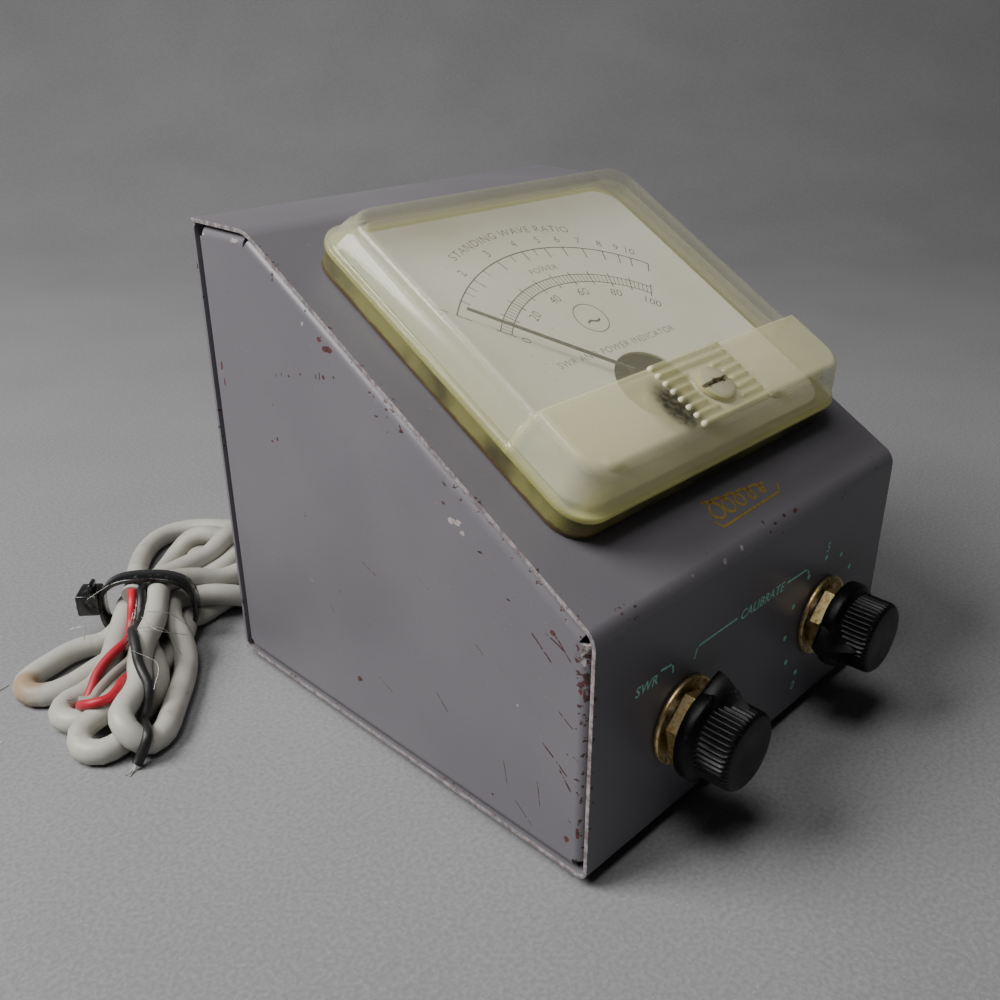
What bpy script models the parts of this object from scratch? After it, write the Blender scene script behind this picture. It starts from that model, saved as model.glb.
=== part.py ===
"""Remote SWR meter head: a sloping-front sheet-steel cabinet with a panel meter and two controls.

Units are metres, +Z is up, +Y is the back.  The origin is on the floor under the middle of the
meter head, knobs and rear screws included, the loose cord left out.
"""

import math

import bmesh
import bpy
from mathutils import Matrix, Vector

MM = 0.001

# ---------------------------------------------------------------- driving dimensions
# Cabinet
CASE_WIDTH = 101.6 * MM
CASE_DEPTH = 107.2 * MM
CASE_HEIGHT = 102.0 * MM
FRONT_HEIGHT = 50.9 * MM
TOP_DEPTH = 19.0 * MM
SHEET = 0.8 * MM
BEND_RADIUS = 2.2 * MM
FLANGE_DEPTH = 8.0 * MM
CORNER_RELIEF = 3.0 * MM
FOOT_HEIGHT = 2.2 * MM
FOOT_RADIUS = 5.5 * MM
FOOT_INSET = 10.0 * MM
GAP = 0.3 * MM  # left between pieces that touch

# Rear panel hardware
REAR_SCREW_RADIUS = 1.25 * MM
REAR_SCREW_HEAD_RADIUS = 2.6 * MM
REAR_SCREW_HEAD = 1.8 * MM
REAR_SCREW_LENGTH = 6.5 * MM
REAR_SCREW_SIDE_INSET = 4.8 * MM
REAR_SCREW_END_INSET = 12.0 * MM
GROMMET_X = 20.0 * MM
GROMMET_HEIGHT = 16.0 * MM
GROMMET_HOLE_RADIUS = 4.8 * MM
GROMMET_FLANGE_RADIUS = 6.6 * MM
GROMMET_FLANGE = 2.1 * MM

# Panel meter, seated on the slope
METER_WIDTH = 85.2 * MM
METER_LENGTH = 76.8 * MM
METER_CENTRE = 53.8 * MM  # up the slope from the front bend
METER_CORNER_RADIUS = 6.3 * MM
BASE_FLOOR = 2.0 * MM
BASE_RIM_HEIGHT = 4.5 * MM
BASE_WALL = 2.2 * MM
COVER_OVERHANG = 0.8 * MM
COVER_SLANT = 3.9 * MM
COVER_WALL = 2.0 * MM
COVER_BROW = 1.2 * MM  # rounding of the band's top edges
WINDOW_HEIGHT = 12.9 * MM
BAND_HEIGHT = 14.2 * MM
BAND_LENGTH = 19.0 * MM
CAN_RADIUS = 28.5 * MM
CAN_OFFSET = 5.9 * MM  # the can's centre is this far below the meter's
CAN_DEPTH = 26.0 * MM
CAN_WALL = 1.6 * MM
CAN_LIP = 1.5 * MM
STUD_RADIUS = 1.5 * MM
STUD_LENGTH = 9.0 * MM
STUD_INSET_X = 6.1 * MM
STUD_INSET_S = 6.1 * MM
STUD_NUT_FLATS = 5.5 * MM
STUD_NUT_THICKNESS = 2.4 * MM
TERMINAL_RADIUS = 2.0 * MM
TERMINAL_SPREAD = 16.0 * MM
TERMINAL_LENGTH = 12.0 * MM
TERMINAL_NUT_FLATS = 7.0 * MM
TERMINAL_NUT_THICKNESS = 3.0 * MM

# Dial and moving-coil movement
DIAL_THICKNESS = 0.6 * MM
DIAL_HOLE_RADIUS = 9.35 * MM
DIAL_HOLE_OFFSET = 0.9 * MM
DIAL_SCREW_X = 26.0 * MM
DIAL_SCREW_OFFSET = 29.8 * MM  # below the meter's centre
DIAL_SCREW_RADIUS = 1.0 * MM
DIAL_POST_RADIUS = 2.6 * MM
CORE_RADIUS = 6.9 * MM
COIL_RADIUS = 8.0 * MM
COIL_THICKNESS = 1.2 * MM
COIL_WIDTH = 3.5 * MM
YOKE_INNER_RADIUS = 9.3 * MM
YOKE_OUTER_RADIUS = 12.5 * MM
YOKE_TOP = -2.2 * MM
YOKE_LENGTH = 11.8 * MM
YOKE_CLEARANCE = 0.6 * MM  # between the yoke and the can's wall
CORE_BAR_RADIUS = 1.5 * MM
POINTER_LENGTH = 41.0 * MM
POINTER_WIDTH = 0.8 * MM
POINTER_HEIGHT = 7.3 * MM
POINTER_THICKNESS = 0.5 * MM
POINTER_HALF_SWEEP = math.radians(43.8)
ZERO_SCREW_DROP = 8.5 * MM  # from the pointer's pivot towards the front
ZERO_HEAD_RADIUS = 4.1 * MM
ZERO_SHAFT_RADIUS = 2.0 * MM
ZERO_PIN_RADIUS = 0.7 * MM
ZERO_PIN_THROW = 1.6 * MM

# The can stays inside the tray, and the movement sits against the can's front wall.
CAN_RADIUS = min(CAN_RADIUS, METER_LENGTH / 2 - CAN_OFFSET - BASE_WALL - CAN_LIP)
PIVOT_BELOW_CAN = CAN_RADIUS - CAN_WALL - YOKE_OUTER_RADIUS - YOKE_CLEARANCE

# Front controls
KNOB_SPACING = 50.0 * MM
KNOB_HEIGHT_ON_PANEL = 22.0 * MM
SHAFT_RADIUS = 3.175 * MM
BUSHING_RADIUS = 4.7 * MM
BUSHING_PROUD = 4.5 * MM
WASHER_RADIUS = 8.9 * MM
WASHER_THICKNESS = 1.0 * MM
NUT_FLATS = 12.7 * MM
NUT_THICKNESS = 2.6 * MM
KNOB_STANDOFF = 4.7 * MM
KNOB_LENGTH = 10.2 * MM
KNOB_BARREL_RADIUS = 7.7 * MM
KNOB_SKIRT_RADIUS = 9.3 * MM
KNOB_SKIRT_LENGTH = 3.1 * MM
KNOB_BEAK_RADIUS = 11.8 * MM
SET_SCREW_RADIUS = 1.2 * MM
SWITCH_BODY_RADIUS = 11.5 * MM
SWITCH_BODY_LENGTH = 9.0 * MM
WAFER_RADIUS = 13.0 * MM
WAFER_THICKNESS = 1.6 * MM
WAFER_STANDOFF = 5.0 * MM
POT_BODY_RADIUS = 12.0 * MM
POT_BODY_LENGTH = 12.0 * MM
SWITCH_REST_ANGLE = math.radians(76)  # points at CALIBRATE
POT_REST_ANGLE = math.radians(184)  # a little under the second mark

# Cord
CORD_DIAMETER = 5.4 * MM
HANK_REST = 0.2 * MM  # the hank's underside above the floor
HANK_HEIGHT = 11.3 * MM
TIE_THICKNESS = 1.1 * MM
TIE_WIDTH = 4.6 * MM
TIE_HALF_WIDTH = 11.2 * MM
TIE_SLACK = 0.2 * MM  # over the cord's end
TIE_INNER_HEIGHT = HANK_REST + HANK_HEIGHT + GAP + CORD_DIAMETER + TIE_SLACK - TIE_THICKNESS
TIE_HEAD_LENGTH = 6.8 * MM
TIE_HEAD_DEPTH = 5.6 * MM
TIE_HEAD_LOW = 9.0 * MM
LEAD_DIAMETER = 2.2 * MM

# ---------------------------------------------------------------- sizes that follow
KNOB_PROUD = KNOB_STANDOFF + KNOB_LENGTH
REAR_PROUD = GROMMET_FLANGE + GAP
FRONT_Y = (KNOB_PROUD - CASE_DEPTH - REAR_PROUD) / 2
REAR_Y = FRONT_Y + CASE_DEPTH
SLOPE_ANGLE = math.atan2(CASE_HEIGHT - FRONT_HEIGHT, CASE_DEPTH - TOP_DEPTH)
CAN_CENTRE = METER_CENTRE - CAN_OFFSET
PIVOT_S = CAN_CENTRE - PIVOT_BELOW_CAN
DIAL_UNDERSIDE = BASE_RIM_HEIGHT + GAP
DIAL_TOP = DIAL_UNDERSIDE + DIAL_THICKNESS
COVER_FOOT = BASE_RIM_HEIGHT + GAP
BEND_STEPS = 3
ROUND_STEPS = 40
SMALL_STEPS = 20


# ---------------------------------------------------------------- scene and helpers
for old in list(bpy.data.objects):
    bpy.data.objects.remove(old, do_unlink=True)

PARTS = bpy.data.collections.new("swr_meter")
CUTTERS = bpy.data.collections.new("cutters")
bpy.context.scene.collection.children.link(PARTS)
bpy.context.scene.collection.children.link(CUTTERS)


def material(name, colour, roughness, metallic=0.0):
    made = bpy.data.materials.new(name)
    made.use_nodes = True
    shader = made.node_tree.nodes["Principled BSDF"]
    shader.inputs["Base Color"].default_value = (*colour, 1.0)
    shader.inputs["Roughness"].default_value = roughness
    shader.inputs["Metallic"].default_value = metallic
    return made


CASE_PAINT = material("case_paint", (0.15, 0.14, 0.16), 0.45)
SCREW_STEEL = material("screw_steel", (0.55, 0.55, 0.55), 0.35, 1.0)
RUBBER = material("rubber", (0.02, 0.02, 0.02), 0.8)
CLEAR_PLASTIC = material("yellowed_clear_plastic", (0.75, 0.72, 0.50), 0.15)
BAKELITE = material("bakelite", (0.012, 0.012, 0.014), 0.2)
DIAL_WHITE = material("dial_white", (0.75, 0.74, 0.68), 0.5)
SOFT_IRON = material("soft_iron", (0.30, 0.30, 0.31), 0.45, 1.0)
MAGNET_STEEL = material("magnet_steel", (0.22, 0.22, 0.23), 0.5, 1.0)
BRASS = material("nickelled_brass", (0.62, 0.55, 0.36), 0.35, 1.0)
COPPER = material("coil_copper", (0.55, 0.22, 0.10), 0.4, 1.0)
POINTER_GREY = material("pointer_grey", (0.10, 0.10, 0.10), 0.5)
PHENOLIC = material("phenolic_sheet", (0.23, 0.12, 0.05), 0.5)
CORD_GREY = material("cord_grey", (0.42, 0.42, 0.39), 0.5)
TIE_BLACK = material("tie_black", (0.015, 0.015, 0.017), 0.3)
LEAD_RED = material("lead_red", (0.55, 0.02, 0.03), 0.4)
LEAD_BLACK = material("lead_black", (0.02, 0.02, 0.02), 0.4)
TINNED = material("tinned_braid", (0.60, 0.60, 0.60), 0.4, 1.0)


def frame(name, place, turn=(0.0, 0.0, 0.0), parent=None):
    """An empty that a group of pieces is placed in."""
    made = bpy.data.objects.new(name, None)
    made.location = place
    made.rotation_euler = turn
    made.parent = parent
    PARTS.objects.link(made)
    return made


def place_object(name, data, paint, parent, at=(0.0, 0.0, 0.0), turn=(0.0, 0.0, 0.0)):
    made = bpy.data.objects.new(name, data)
    made.location = at
    made.rotation_euler = turn
    made.parent = parent
    if paint is None:
        CUTTERS.objects.link(made)
        made.hide_render = True
        made.display_type = "WIRE"
    else:
        PARTS.objects.link(made)
        data.materials.append(paint)
    return made


def mesh_from(name, build):
    """A mesh filled by build(bm), with its faces turned outwards."""
    bm = bmesh.new()
    build(bm)
    bmesh.ops.recalc_face_normals(bm, faces=bm.faces)
    mesh = bpy.data.meshes.new(name)
    bm.to_mesh(mesh)
    bm.free()
    return mesh


def round_off(made, angle=35):
    made.data.shade_smooth()
    made.data.set_sharp_from_angle(angle=math.radians(angle))
    return made


def box(name, low, high, paint, parent, **place):
    """A block between two corners of its frame."""
    low, high = Vector(low), Vector(high)

    def build(bm):
        size = Matrix.Diagonal((*(high - low), 1.0))
        bmesh.ops.create_cube(bm, size=1.0, matrix=Matrix.Translation((low + high) / 2) @ size)

    return place_object(name, mesh_from(name, build), paint, parent, **place)


def cylinder(name, radius, low, high, paint, parent, sides=SMALL_STEPS, **place):
    """A round or, with six sides, hexagonal bar along its frame's Z."""

    def build(bm):
        bmesh.ops.create_cone(
            bm, cap_ends=True, segments=sides, radius1=radius, radius2=radius, depth=high - low,
            matrix=Matrix.Translation((0, 0, (low + high) / 2)),
        )

    return place_object(name, mesh_from(name, build), paint, parent, **place)


def turned(name, profile, paint, parent, steps=ROUND_STEPS, closed=False, **place):
    """A profile of (radius, height) points, given from the top down its outer side, turned round Z."""
    mesh = bpy.data.meshes.new(name)
    edges = [(i, i + 1) for i in range(len(profile) - 1)]
    if closed:
        edges.append((len(profile) - 1, 0))
    mesh.from_pydata([(r, 0.0, z) for r, z in profile], edges, [])
    made = place_object(name, mesh, paint, parent, **place)
    screw = made.modifiers.new("turn", "SCREW")
    screw.axis = "Z"
    screw.steps = steps
    screw.render_steps = steps
    screw.use_merge_vertices = True
    screw.merge_threshold = 0.00001
    screw.use_smooth_shade = False
    return made


def plate(name, outlines, low, high, paint, parent, **place):
    """Flat outlines, the first the edge and the others holes, between two heights."""
    curve = bpy.data.curves.new(name, "CURVE")
    curve.dimensions = "2D"
    curve.fill_mode = "BOTH"
    curve.extrude = (high - low) / 2
    for outline in outlines:
        spline = curve.splines.new("POLY")
        spline.points.add(len(outline) - 1)
        for point, (x, y) in zip(spline.points, outline):
            point.co = (x, y, 0.0, 1.0)
        spline.use_cyclic_u = True
    x, y, z = place.pop("at", (0.0, 0.0, 0.0))
    made = place_object(name, curve, paint, parent, **place)
    made.location = Vector((x, y, z)) + made.rotation_euler.to_matrix() @ Vector((0, 0, (low + high) / 2))
    return as_mesh(made)


def as_mesh(made):
    """The same object as a welded mesh, so that it can be cut or joined."""
    bpy.context.view_layer.update()
    evaluated = made.evaluated_get(bpy.context.evaluated_depsgraph_get())
    mesh = bpy.data.meshes.new_from_object(evaluated)
    bm = bmesh.new()
    bm.from_mesh(mesh)
    bmesh.ops.remove_doubles(bm, verts=bm.verts, dist=1e-7)
    bmesh.ops.recalc_face_normals(bm, faces=bm.faces)
    bm.to_mesh(mesh)
    bm.free()
    name, holders = made.name, list(made.users_collection)
    new = bpy.data.objects.new(name, mesh)
    new.parent = made.parent
    new.location = made.location
    new.rotation_euler = made.rotation_euler
    new.hide_render = made.hide_render
    new.display_type = made.display_type
    for holder in holders:
        holder.objects.link(new)
    bpy.data.objects.remove(made, do_unlink=True)
    new.name = name
    return new


def tube(name, points, diameter, paint, parent=None, resolution=2):
    """A wire or cord along a smooth curve through the given points."""
    curve = bpy.data.curves.new(name, "CURVE")
    curve.dimensions = "3D"
    curve.bevel_depth = diameter / 2
    curve.bevel_resolution = resolution
    curve.use_fill_caps = True
    spline = curve.splines.new("POLY")
    spline.points.add(len(points) - 1)
    for point, place in zip(spline.points, points):
        point.co = (*place, 1.0)
    return round_off(as_mesh(place_object(name, curve, paint, parent)), 60)


def smooth_route(points, spacing):
    """Points at about the given spacing on the Catmull-Rom curve through a route's points."""
    route = [Vector(p) for p in points]
    ends = [2 * route[0] - route[1]] + route + [2 * route[-1] - route[-2]]
    made = []
    for before, start, end, after in zip(ends, ends[1:], ends[2:], ends[3:]):
        steps = max(1, round((end - start).length / spacing))
        for step in range(steps):
            t = step / steps
            bend = 2 * start + (end - before) * t
            bend += (2 * before - 5 * start + 4 * end - after) * t * t
            bend += (3 * start - before - 3 * end + after) * t**3
            made.append(bend / 2)
    made.append(route[-1])
    return made


def boolean(made, tool, operation):
    modifier = made.modifiers.new(operation.lower(), "BOOLEAN")
    modifier.operation = operation
    modifier.object = tool
    modifier.solver = "EXACT"


def cut(made, *tools):
    for tool in tools:
        boolean(made, tool, "DIFFERENCE")


def join(made, *tools):
    for tool in tools:
        boolean(made, tool, "UNION")


def rounded_rectangle(width, length, radius, centre=(0.0, 0.0), steps=5):
    points = []
    for corner, (sx, sy) in enumerate(((1, 1), (-1, 1), (-1, -1), (1, -1))):
        for step in range(steps + 1):
            angle = math.pi / 2 * (corner + step / steps)
            points.append((
                centre[0] + sx * (width / 2 - radius) + radius * math.cos(angle),
                centre[1] + sy * (length / 2 - radius) + radius * math.sin(angle),
            ))
    return points


def circle(radius, centre=(0.0, 0.0), steps=ROUND_STEPS):
    turns = [2 * math.pi * i / steps for i in range(steps)]
    return [(centre[0] + radius * math.cos(a), centre[1] + radius * math.sin(a)) for a in turns]


# ---------------------------------------------------------------- frames
# profile_frame: X is the distance back from the front panel, Y is height, Z is to the right.
profile_frame = frame("profile_frame", (0, FRONT_Y, FOOT_HEIGHT), (math.pi / 2, 0, math.pi / 2))
# front_frame: Y is height, Z points out of the front panel.
front_frame = frame("front_frame", (0, FRONT_Y, FOOT_HEIGHT), (math.pi / 2, 0, 0))
# rear_frame: Y is height, Z points out of the rear panel, X is to the left.
rear_frame = frame("rear_frame", (0, REAR_Y, FOOT_HEIGHT), (math.pi / 2, 0, math.pi))
# slope_frame: Y runs up the slope from the front bend, Z points out of it.
slope_frame = frame("slope_frame", (0, FRONT_Y, FOOT_HEIGHT + FRONT_HEIGHT), (SLOPE_ANGLE, 0, 0))
# pivot_frame: Z is the pointer's axis, Y runs up the slope.
pivot_frame = frame("pivot_frame", (0, PIVOT_S, 0), parent=slope_frame)
# zero_frame: Z is the zero screw's axis.
zero_frame = frame("zero_frame", (0, PIVOT_S - ZERO_SCREW_DROP, 0), parent=slope_frame)


# ---------------------------------------------------------------- cabinet
def case_outline(inset=0.0):
    """The side view's corners, bottom rear first and clockwise from there, moved in by inset."""
    corners = [
        (CASE_DEPTH, 0.0), (0.0, 0.0), (0.0, FRONT_HEIGHT),
        (CASE_DEPTH - TOP_DEPTH, CASE_HEIGHT), (CASE_DEPTH, CASE_HEIGHT),
    ]
    if not inset:
        return corners
    moved = []
    for i, corner in enumerate(corners):
        here = Vector(corner)
        back = (Vector(corners[i - 1]) - here).normalized()
        on = (Vector(corners[(i + 1) % len(corners)]) - here).normalized()
        half = back.angle(on) / 2
        moved.append(tuple(here + (back + on).normalized() * inset / math.sin(half)))
    return moved


def sheet_shell(name, vertices, faces, parent, rounded=True):
    """An open bent sheet: its outer faces, rounded at the bends if asked, thickened inwards."""
    mesh = bpy.data.meshes.new(name)
    mesh.from_pydata(vertices, [], faces)
    made = place_object(name, mesh, CASE_PAINT, parent)
    if rounded:
        bends = made.modifiers.new("bends", "BEVEL")
        bends.width = BEND_RADIUS
        bends.segments = BEND_STEPS
        bends.limit_method = "ANGLE"
        bends.angle_limit = math.radians(15)
        bends.use_clamp_overlap = False
    wall = made.modifiers.new("wall", "SOLIDIFY")
    wall.thickness = SHEET
    wall.offset = -1.0
    wall.use_even_offset = True
    return made


def make_case_wrap():
    """One sheet folded round the bottom, front, slope and top."""
    half = CASE_WIDTH / 2
    corners = case_outline()
    vertices = [(x, y, side) for x, y in corners for side in (-half, half)]
    faces = [(2 * i, 2 * i + 1, 2 * i + 3, 2 * i + 2) for i in range(len(corners) - 1)]
    wrap = sheet_shell("case_wrap", vertices, faces, profile_frame)
    for side, name in ((-1, "switch"), (1, "pot")):
        cut(wrap, cylinder(
            f"cut_{name}_hole", BUSHING_RADIUS + GAP, -2 * SHEET, SHEET, None, front_frame, 24,
            at=(side * KNOB_SPACING / 2, KNOB_HEIGHT_ON_PANEL, 0),
        ))
    cut(wrap, cylinder(
        "cut_can_hole", CAN_RADIUS + 2 * GAP, -2 * SHEET, SHEET, None, slope_frame, ROUND_STEPS,
        at=(0, CAN_CENTRE, 0),
    ))
    for number, (x, s) in enumerate(stud_places(), 1):
        cut(wrap, cylinder(
            f"cut_stud_hole_{number}", STUD_RADIUS + GAP, -2 * SHEET, SHEET, None, slope_frame, 16,
            at=(x, s, 0),
        ))
    return wrap


def make_side_panel(name, side):
    """A flat side with five flanges folded in under the wrap, relieved at every corner."""
    inset = SHEET + GAP
    corners = case_outline(inset)
    corners[0] = (CASE_DEPTH - inset, corners[0][1])
    corners[-1] = (CASE_DEPTH - inset, corners[-1][1])
    face, outer, inner = side * CASE_WIDTH / 2, CASE_WIDTH / 2, CASE_WIDTH / 2 - FLANGE_DEPTH
    rows = []
    for step in range(BEND_STEPS + 1):
        lean = math.pi / 2 * step / BEND_STEPS
        rows.append((BEND_RADIUS * (1 - math.sin(lean)), outer - BEND_RADIUS * (1 - math.cos(lean))))
    rows.append((0.0, inner))
    vertices, faces, rim = [], [], []
    for i, corner in enumerate(corners):
        here, following = Vector(corner), Vector(corners[(i + 1) % len(corners)])
        along = (following - here).normalized()
        inward = Vector((along.y, -along.x))
        first = len(vertices)
        for inside, across in rows:
            for end in (here + along * CORNER_RELIEF, following - along * CORNER_RELIEF):
                place = end + inward * inside
                vertices.append((place.x, place.y, side * across))
        rim += [first, first + 1]
        faces += [(k + 1, k, k + 2, k + 3) for k in range(first, first + 2 * len(rows) - 2, 2)]
    middle = len(vertices)
    centre = sum((Vector(c) for c in corners), Vector((0.0, 0.0))) / len(corners)
    vertices.append((centre.x, centre.y, face))
    faces += [(middle, rim[k], rim[(k + 1) % len(rim)]) for k in range(len(rim))]
    if side > 0:
        faces = [tuple(reversed(f)) for f in faces]
    panel = sheet_shell(name, vertices, faces, profile_frame, False)
    for number, (x, height) in enumerate(rear_screw_places(), 1):
        if x * side < 0:
            continue
        cut(panel, cylinder(
            f"cut_{name}_{number}", REAR_SCREW_RADIUS + GAP, -4 * SHEET, SHEET, None, rear_frame, 16,
            at=(-x, height, 0),
        ))
    return panel


def rear_screw_places():
    x = CASE_WIDTH / 2 - REAR_SCREW_SIDE_INSET
    heights = (REAR_SCREW_END_INSET, CASE_HEIGHT - REAR_SCREW_END_INSET)
    return [(side * x, height) for side in (-1, 1) for height in heights]


def make_rear_panel():
    """A flat plate between the wrap's ends, on the side panels' rear flanges."""
    holes = [circle(REAR_SCREW_RADIUS + GAP, (-x, h), 16) for x, h in rear_screw_places()]
    holes.append(circle(GROMMET_HOLE_RADIUS + GAP, (-GROMMET_X, GROMMET_HEIGHT), 24))
    low, high = SHEET + GAP, CASE_HEIGHT - SHEET - GAP
    edge = rounded_rectangle(CASE_WIDTH, high - low, SHEET, (0, (low + high) / 2), 2)
    return plate("rear_panel", [edge, *holes], -SHEET, 0, CASE_PAINT, rear_frame)


def make_rear_screws():
    """Pan-head self-tapping screws with a straight slot."""
    r, head = REAR_SCREW_RADIUS, REAR_SCREW_HEAD_RADIUS
    top = GAP + REAR_SCREW_HEAD
    profile = [
        (0, top), (head * 0.6, top), (head * 0.93, top - 0.45 * MM), (head, GAP), (r, GAP),
        (r, -REAR_SCREW_LENGTH + 1.5 * MM), (0.3 * MM, -REAR_SCREW_LENGTH), (0, -REAR_SCREW_LENGTH),
    ]
    for number, (x, height) in enumerate(rear_screw_places(), 1):
        name = f"rear_screw_{number}"
        screw = turned(name, profile, SCREW_STEEL, rear_frame, 16, at=(-x, height, 0))
        slot = (head, 0.35 * MM, 0.8 * MM)
        cut(screw, box(
            f"cut_{name}", (-slot[0], -slot[1], top - slot[2]), (slot[0], slot[1], top + MM), None,
            rear_frame, at=(-x, height, 0), turn=(0, 0, 0.5 * number),
        ))


def make_feet():
    """Low round rubber feet stuck to the cabinet's bottom."""
    top = FOOT_HEIGHT - GAP
    profile = [
        (0, top), (FOOT_RADIUS, top), (FOOT_RADIUS - 0.4 * MM, 0.4 * MM), (FOOT_RADIUS - MM, 0), (0, 0),
    ]
    x = CASE_WIDTH / 2 - FOOT_INSET
    for row, y in (("front", FRONT_Y + FOOT_INSET), ("rear", REAR_Y - FOOT_INSET)):
        for side, sign in (("left", -1), ("right", 1)):
            turned(f"foot_{row}_{side}", profile, RUBBER, None, 24, at=(sign * x, y, 0))


def make_grommet():
    """A rubber grommet snapped into the rear panel, bored for the cord."""
    neck, flange, bore = GROMMET_HOLE_RADIUS, GROMMET_FLANGE_RADIUS, CORD_DIAMETER / 2 + GAP
    out, lip = GAP + GROMMET_FLANGE, 0.7 * MM
    profile = [
        (bore, out - lip), (bore + lip, out), (flange - lip, out), (flange, out - lip), (flange, GAP),
        (neck, GAP), (neck, -SHEET - GAP), (flange, -SHEET - GAP), (flange - lip, -SHEET - out),
        (bore, -SHEET - out),
    ]
    turned("cable_grommet", profile, RUBBER, rear_frame, 24, True, at=(-GROMMET_X, GROMMET_HEIGHT, 0))


# ---------------------------------------------------------------- meter housing
def stud_places():
    x = METER_WIDTH / 2 - STUD_INSET_X
    reach = METER_LENGTH / 2 - STUD_INSET_S
    return [(sx * x, METER_CENTRE + sy * reach) for sy in (-1, 1) for sx in (-1, 1)]


def make_meter_base():
    """The moulded tray behind the dial, with four studs that hold the meter to the slope."""
    centre = (0, METER_CENTRE)
    edge = rounded_rectangle(METER_WIDTH, METER_LENGTH, METER_CORNER_RADIUS, centre)
    base = plate("meter_base", [edge], GAP, BASE_RIM_HEIGHT, CLEAR_PLASTIC, slope_frame)
    hollow = rounded_rectangle(
        METER_WIDTH - 2 * BASE_WALL, METER_LENGTH - 2 * BASE_WALL, METER_CORNER_RADIUS - BASE_WALL, centre,
    )
    cut(base, plate("cut_base_tray", [hollow], GAP + BASE_FLOOR, BASE_RIM_HEIGHT + MM, None, slope_frame))
    cut(base, cylinder(
        "cut_base_can", CAN_RADIUS + GAP, -MM, BASE_RIM_HEIGHT, None, slope_frame, ROUND_STEPS,
        at=(0, CAN_CENTRE, 0),
    ))
    floor = GAP + BASE_FLOOR
    for side, x, s in dial_screw_places():
        join(base, cylinder(
            f"join_dial_post_{side}", DIAL_POST_RADIUS, floor - MM, BASE_RIM_HEIGHT, None, slope_frame,
            at=(x, s, 0),
        ))
        cut(base, cylinder(
            f"cut_dial_post_{side}", DIAL_SCREW_RADIUS + GAP, floor, BASE_RIM_HEIGHT + MM, None,
            slope_frame, 16, at=(x, s, 0),
        ))
    for number, (x, s) in enumerate(stud_places(), 1):
        join(base, cylinder(
            f"join_stud_{number}", STUD_RADIUS, -STUD_LENGTH, GAP + BASE_FLOOR / 2, None, slope_frame, 16,
            at=(x, s, 0),
        ))
    return base


def make_meter_nuts():
    for number, (x, s) in enumerate(stud_places(), 1):
        nut = cylinder(
            f"meter_nut_{number}", STUD_NUT_FLATS / math.sqrt(3), -SHEET - GAP - STUD_NUT_THICKNESS,
            -SHEET - GAP, BRASS, slope_frame, 6, at=(x, s, 0),
        )
        cut(nut, cylinder(
            f"cut_meter_nut_{number}", STUD_RADIUS + GAP, -STUD_LENGTH, 0, None, slope_frame, 16,
            at=(x, s, 0),
        ))


def make_meter_can():
    """The black cup behind the panel, hung from the base by its lip."""
    lip_low, lip_high = GAP + BASE_FLOOR + GAP, BASE_RIM_HEIGHT
    outer, inner = CAN_RADIUS, CAN_RADIUS - CAN_WALL
    profile = [
        (inner, lip_high), (outer + CAN_LIP, lip_high), (outer + CAN_LIP, lip_low), (outer, lip_low),
        (outer, MM - CAN_DEPTH), (outer - MM, -CAN_DEPTH), (0, -CAN_DEPTH), (0, CAN_WALL - CAN_DEPTH),
        (inner, CAN_WALL - CAN_DEPTH),
    ]
    can = turned("meter_can", profile, BAKELITE, slope_frame, closed=True, at=(0, CAN_CENTRE, 0))
    for name, x in terminal_places():
        cut(can, cylinder(
            f"cut_can_{name}", TERMINAL_RADIUS + GAP, -CAN_DEPTH - MM, CAN_WALL - CAN_DEPTH + MM, None,
            slope_frame, 16, at=(x, CAN_CENTRE, 0),
        ))
    return can


def terminal_places():
    return (("left", -TERMINAL_SPREAD), ("right", TERMINAL_SPREAD))


def make_terminals():
    """Two brass studs through the can's bottom, each with a flange inside and a nut outside."""
    inside = CAN_WALL - CAN_DEPTH + GAP
    flange = TERMINAL_RADIUS + 1.5 * MM
    profile = [
        (0, inside + 1.5 * MM), (flange, inside + 1.5 * MM), (flange, inside), (TERMINAL_RADIUS, inside),
        (TERMINAL_RADIUS, -CAN_DEPTH - TERMINAL_LENGTH), (0, -CAN_DEPTH - TERMINAL_LENGTH),
    ]
    for name, x in terminal_places():
        turned(f"terminal_stud_{name}", profile, BRASS, slope_frame, 16, at=(x, CAN_CENTRE, 0))
        low, high = -CAN_DEPTH - GAP - TERMINAL_NUT_THICKNESS, -CAN_DEPTH - GAP
        nut = cylinder(
            f"terminal_nut_{name}", TERMINAL_NUT_FLATS / math.sqrt(3), low, high, BRASS, slope_frame, 6,
            at=(x, CAN_CENTRE, 0),
        )
        cut(nut, cylinder(
            f"cut_terminal_nut_{name}", TERMINAL_RADIUS + GAP, low - MM, high + MM, None, slope_frame, 16,
            at=(x, CAN_CENTRE, 0),
        ))


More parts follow.
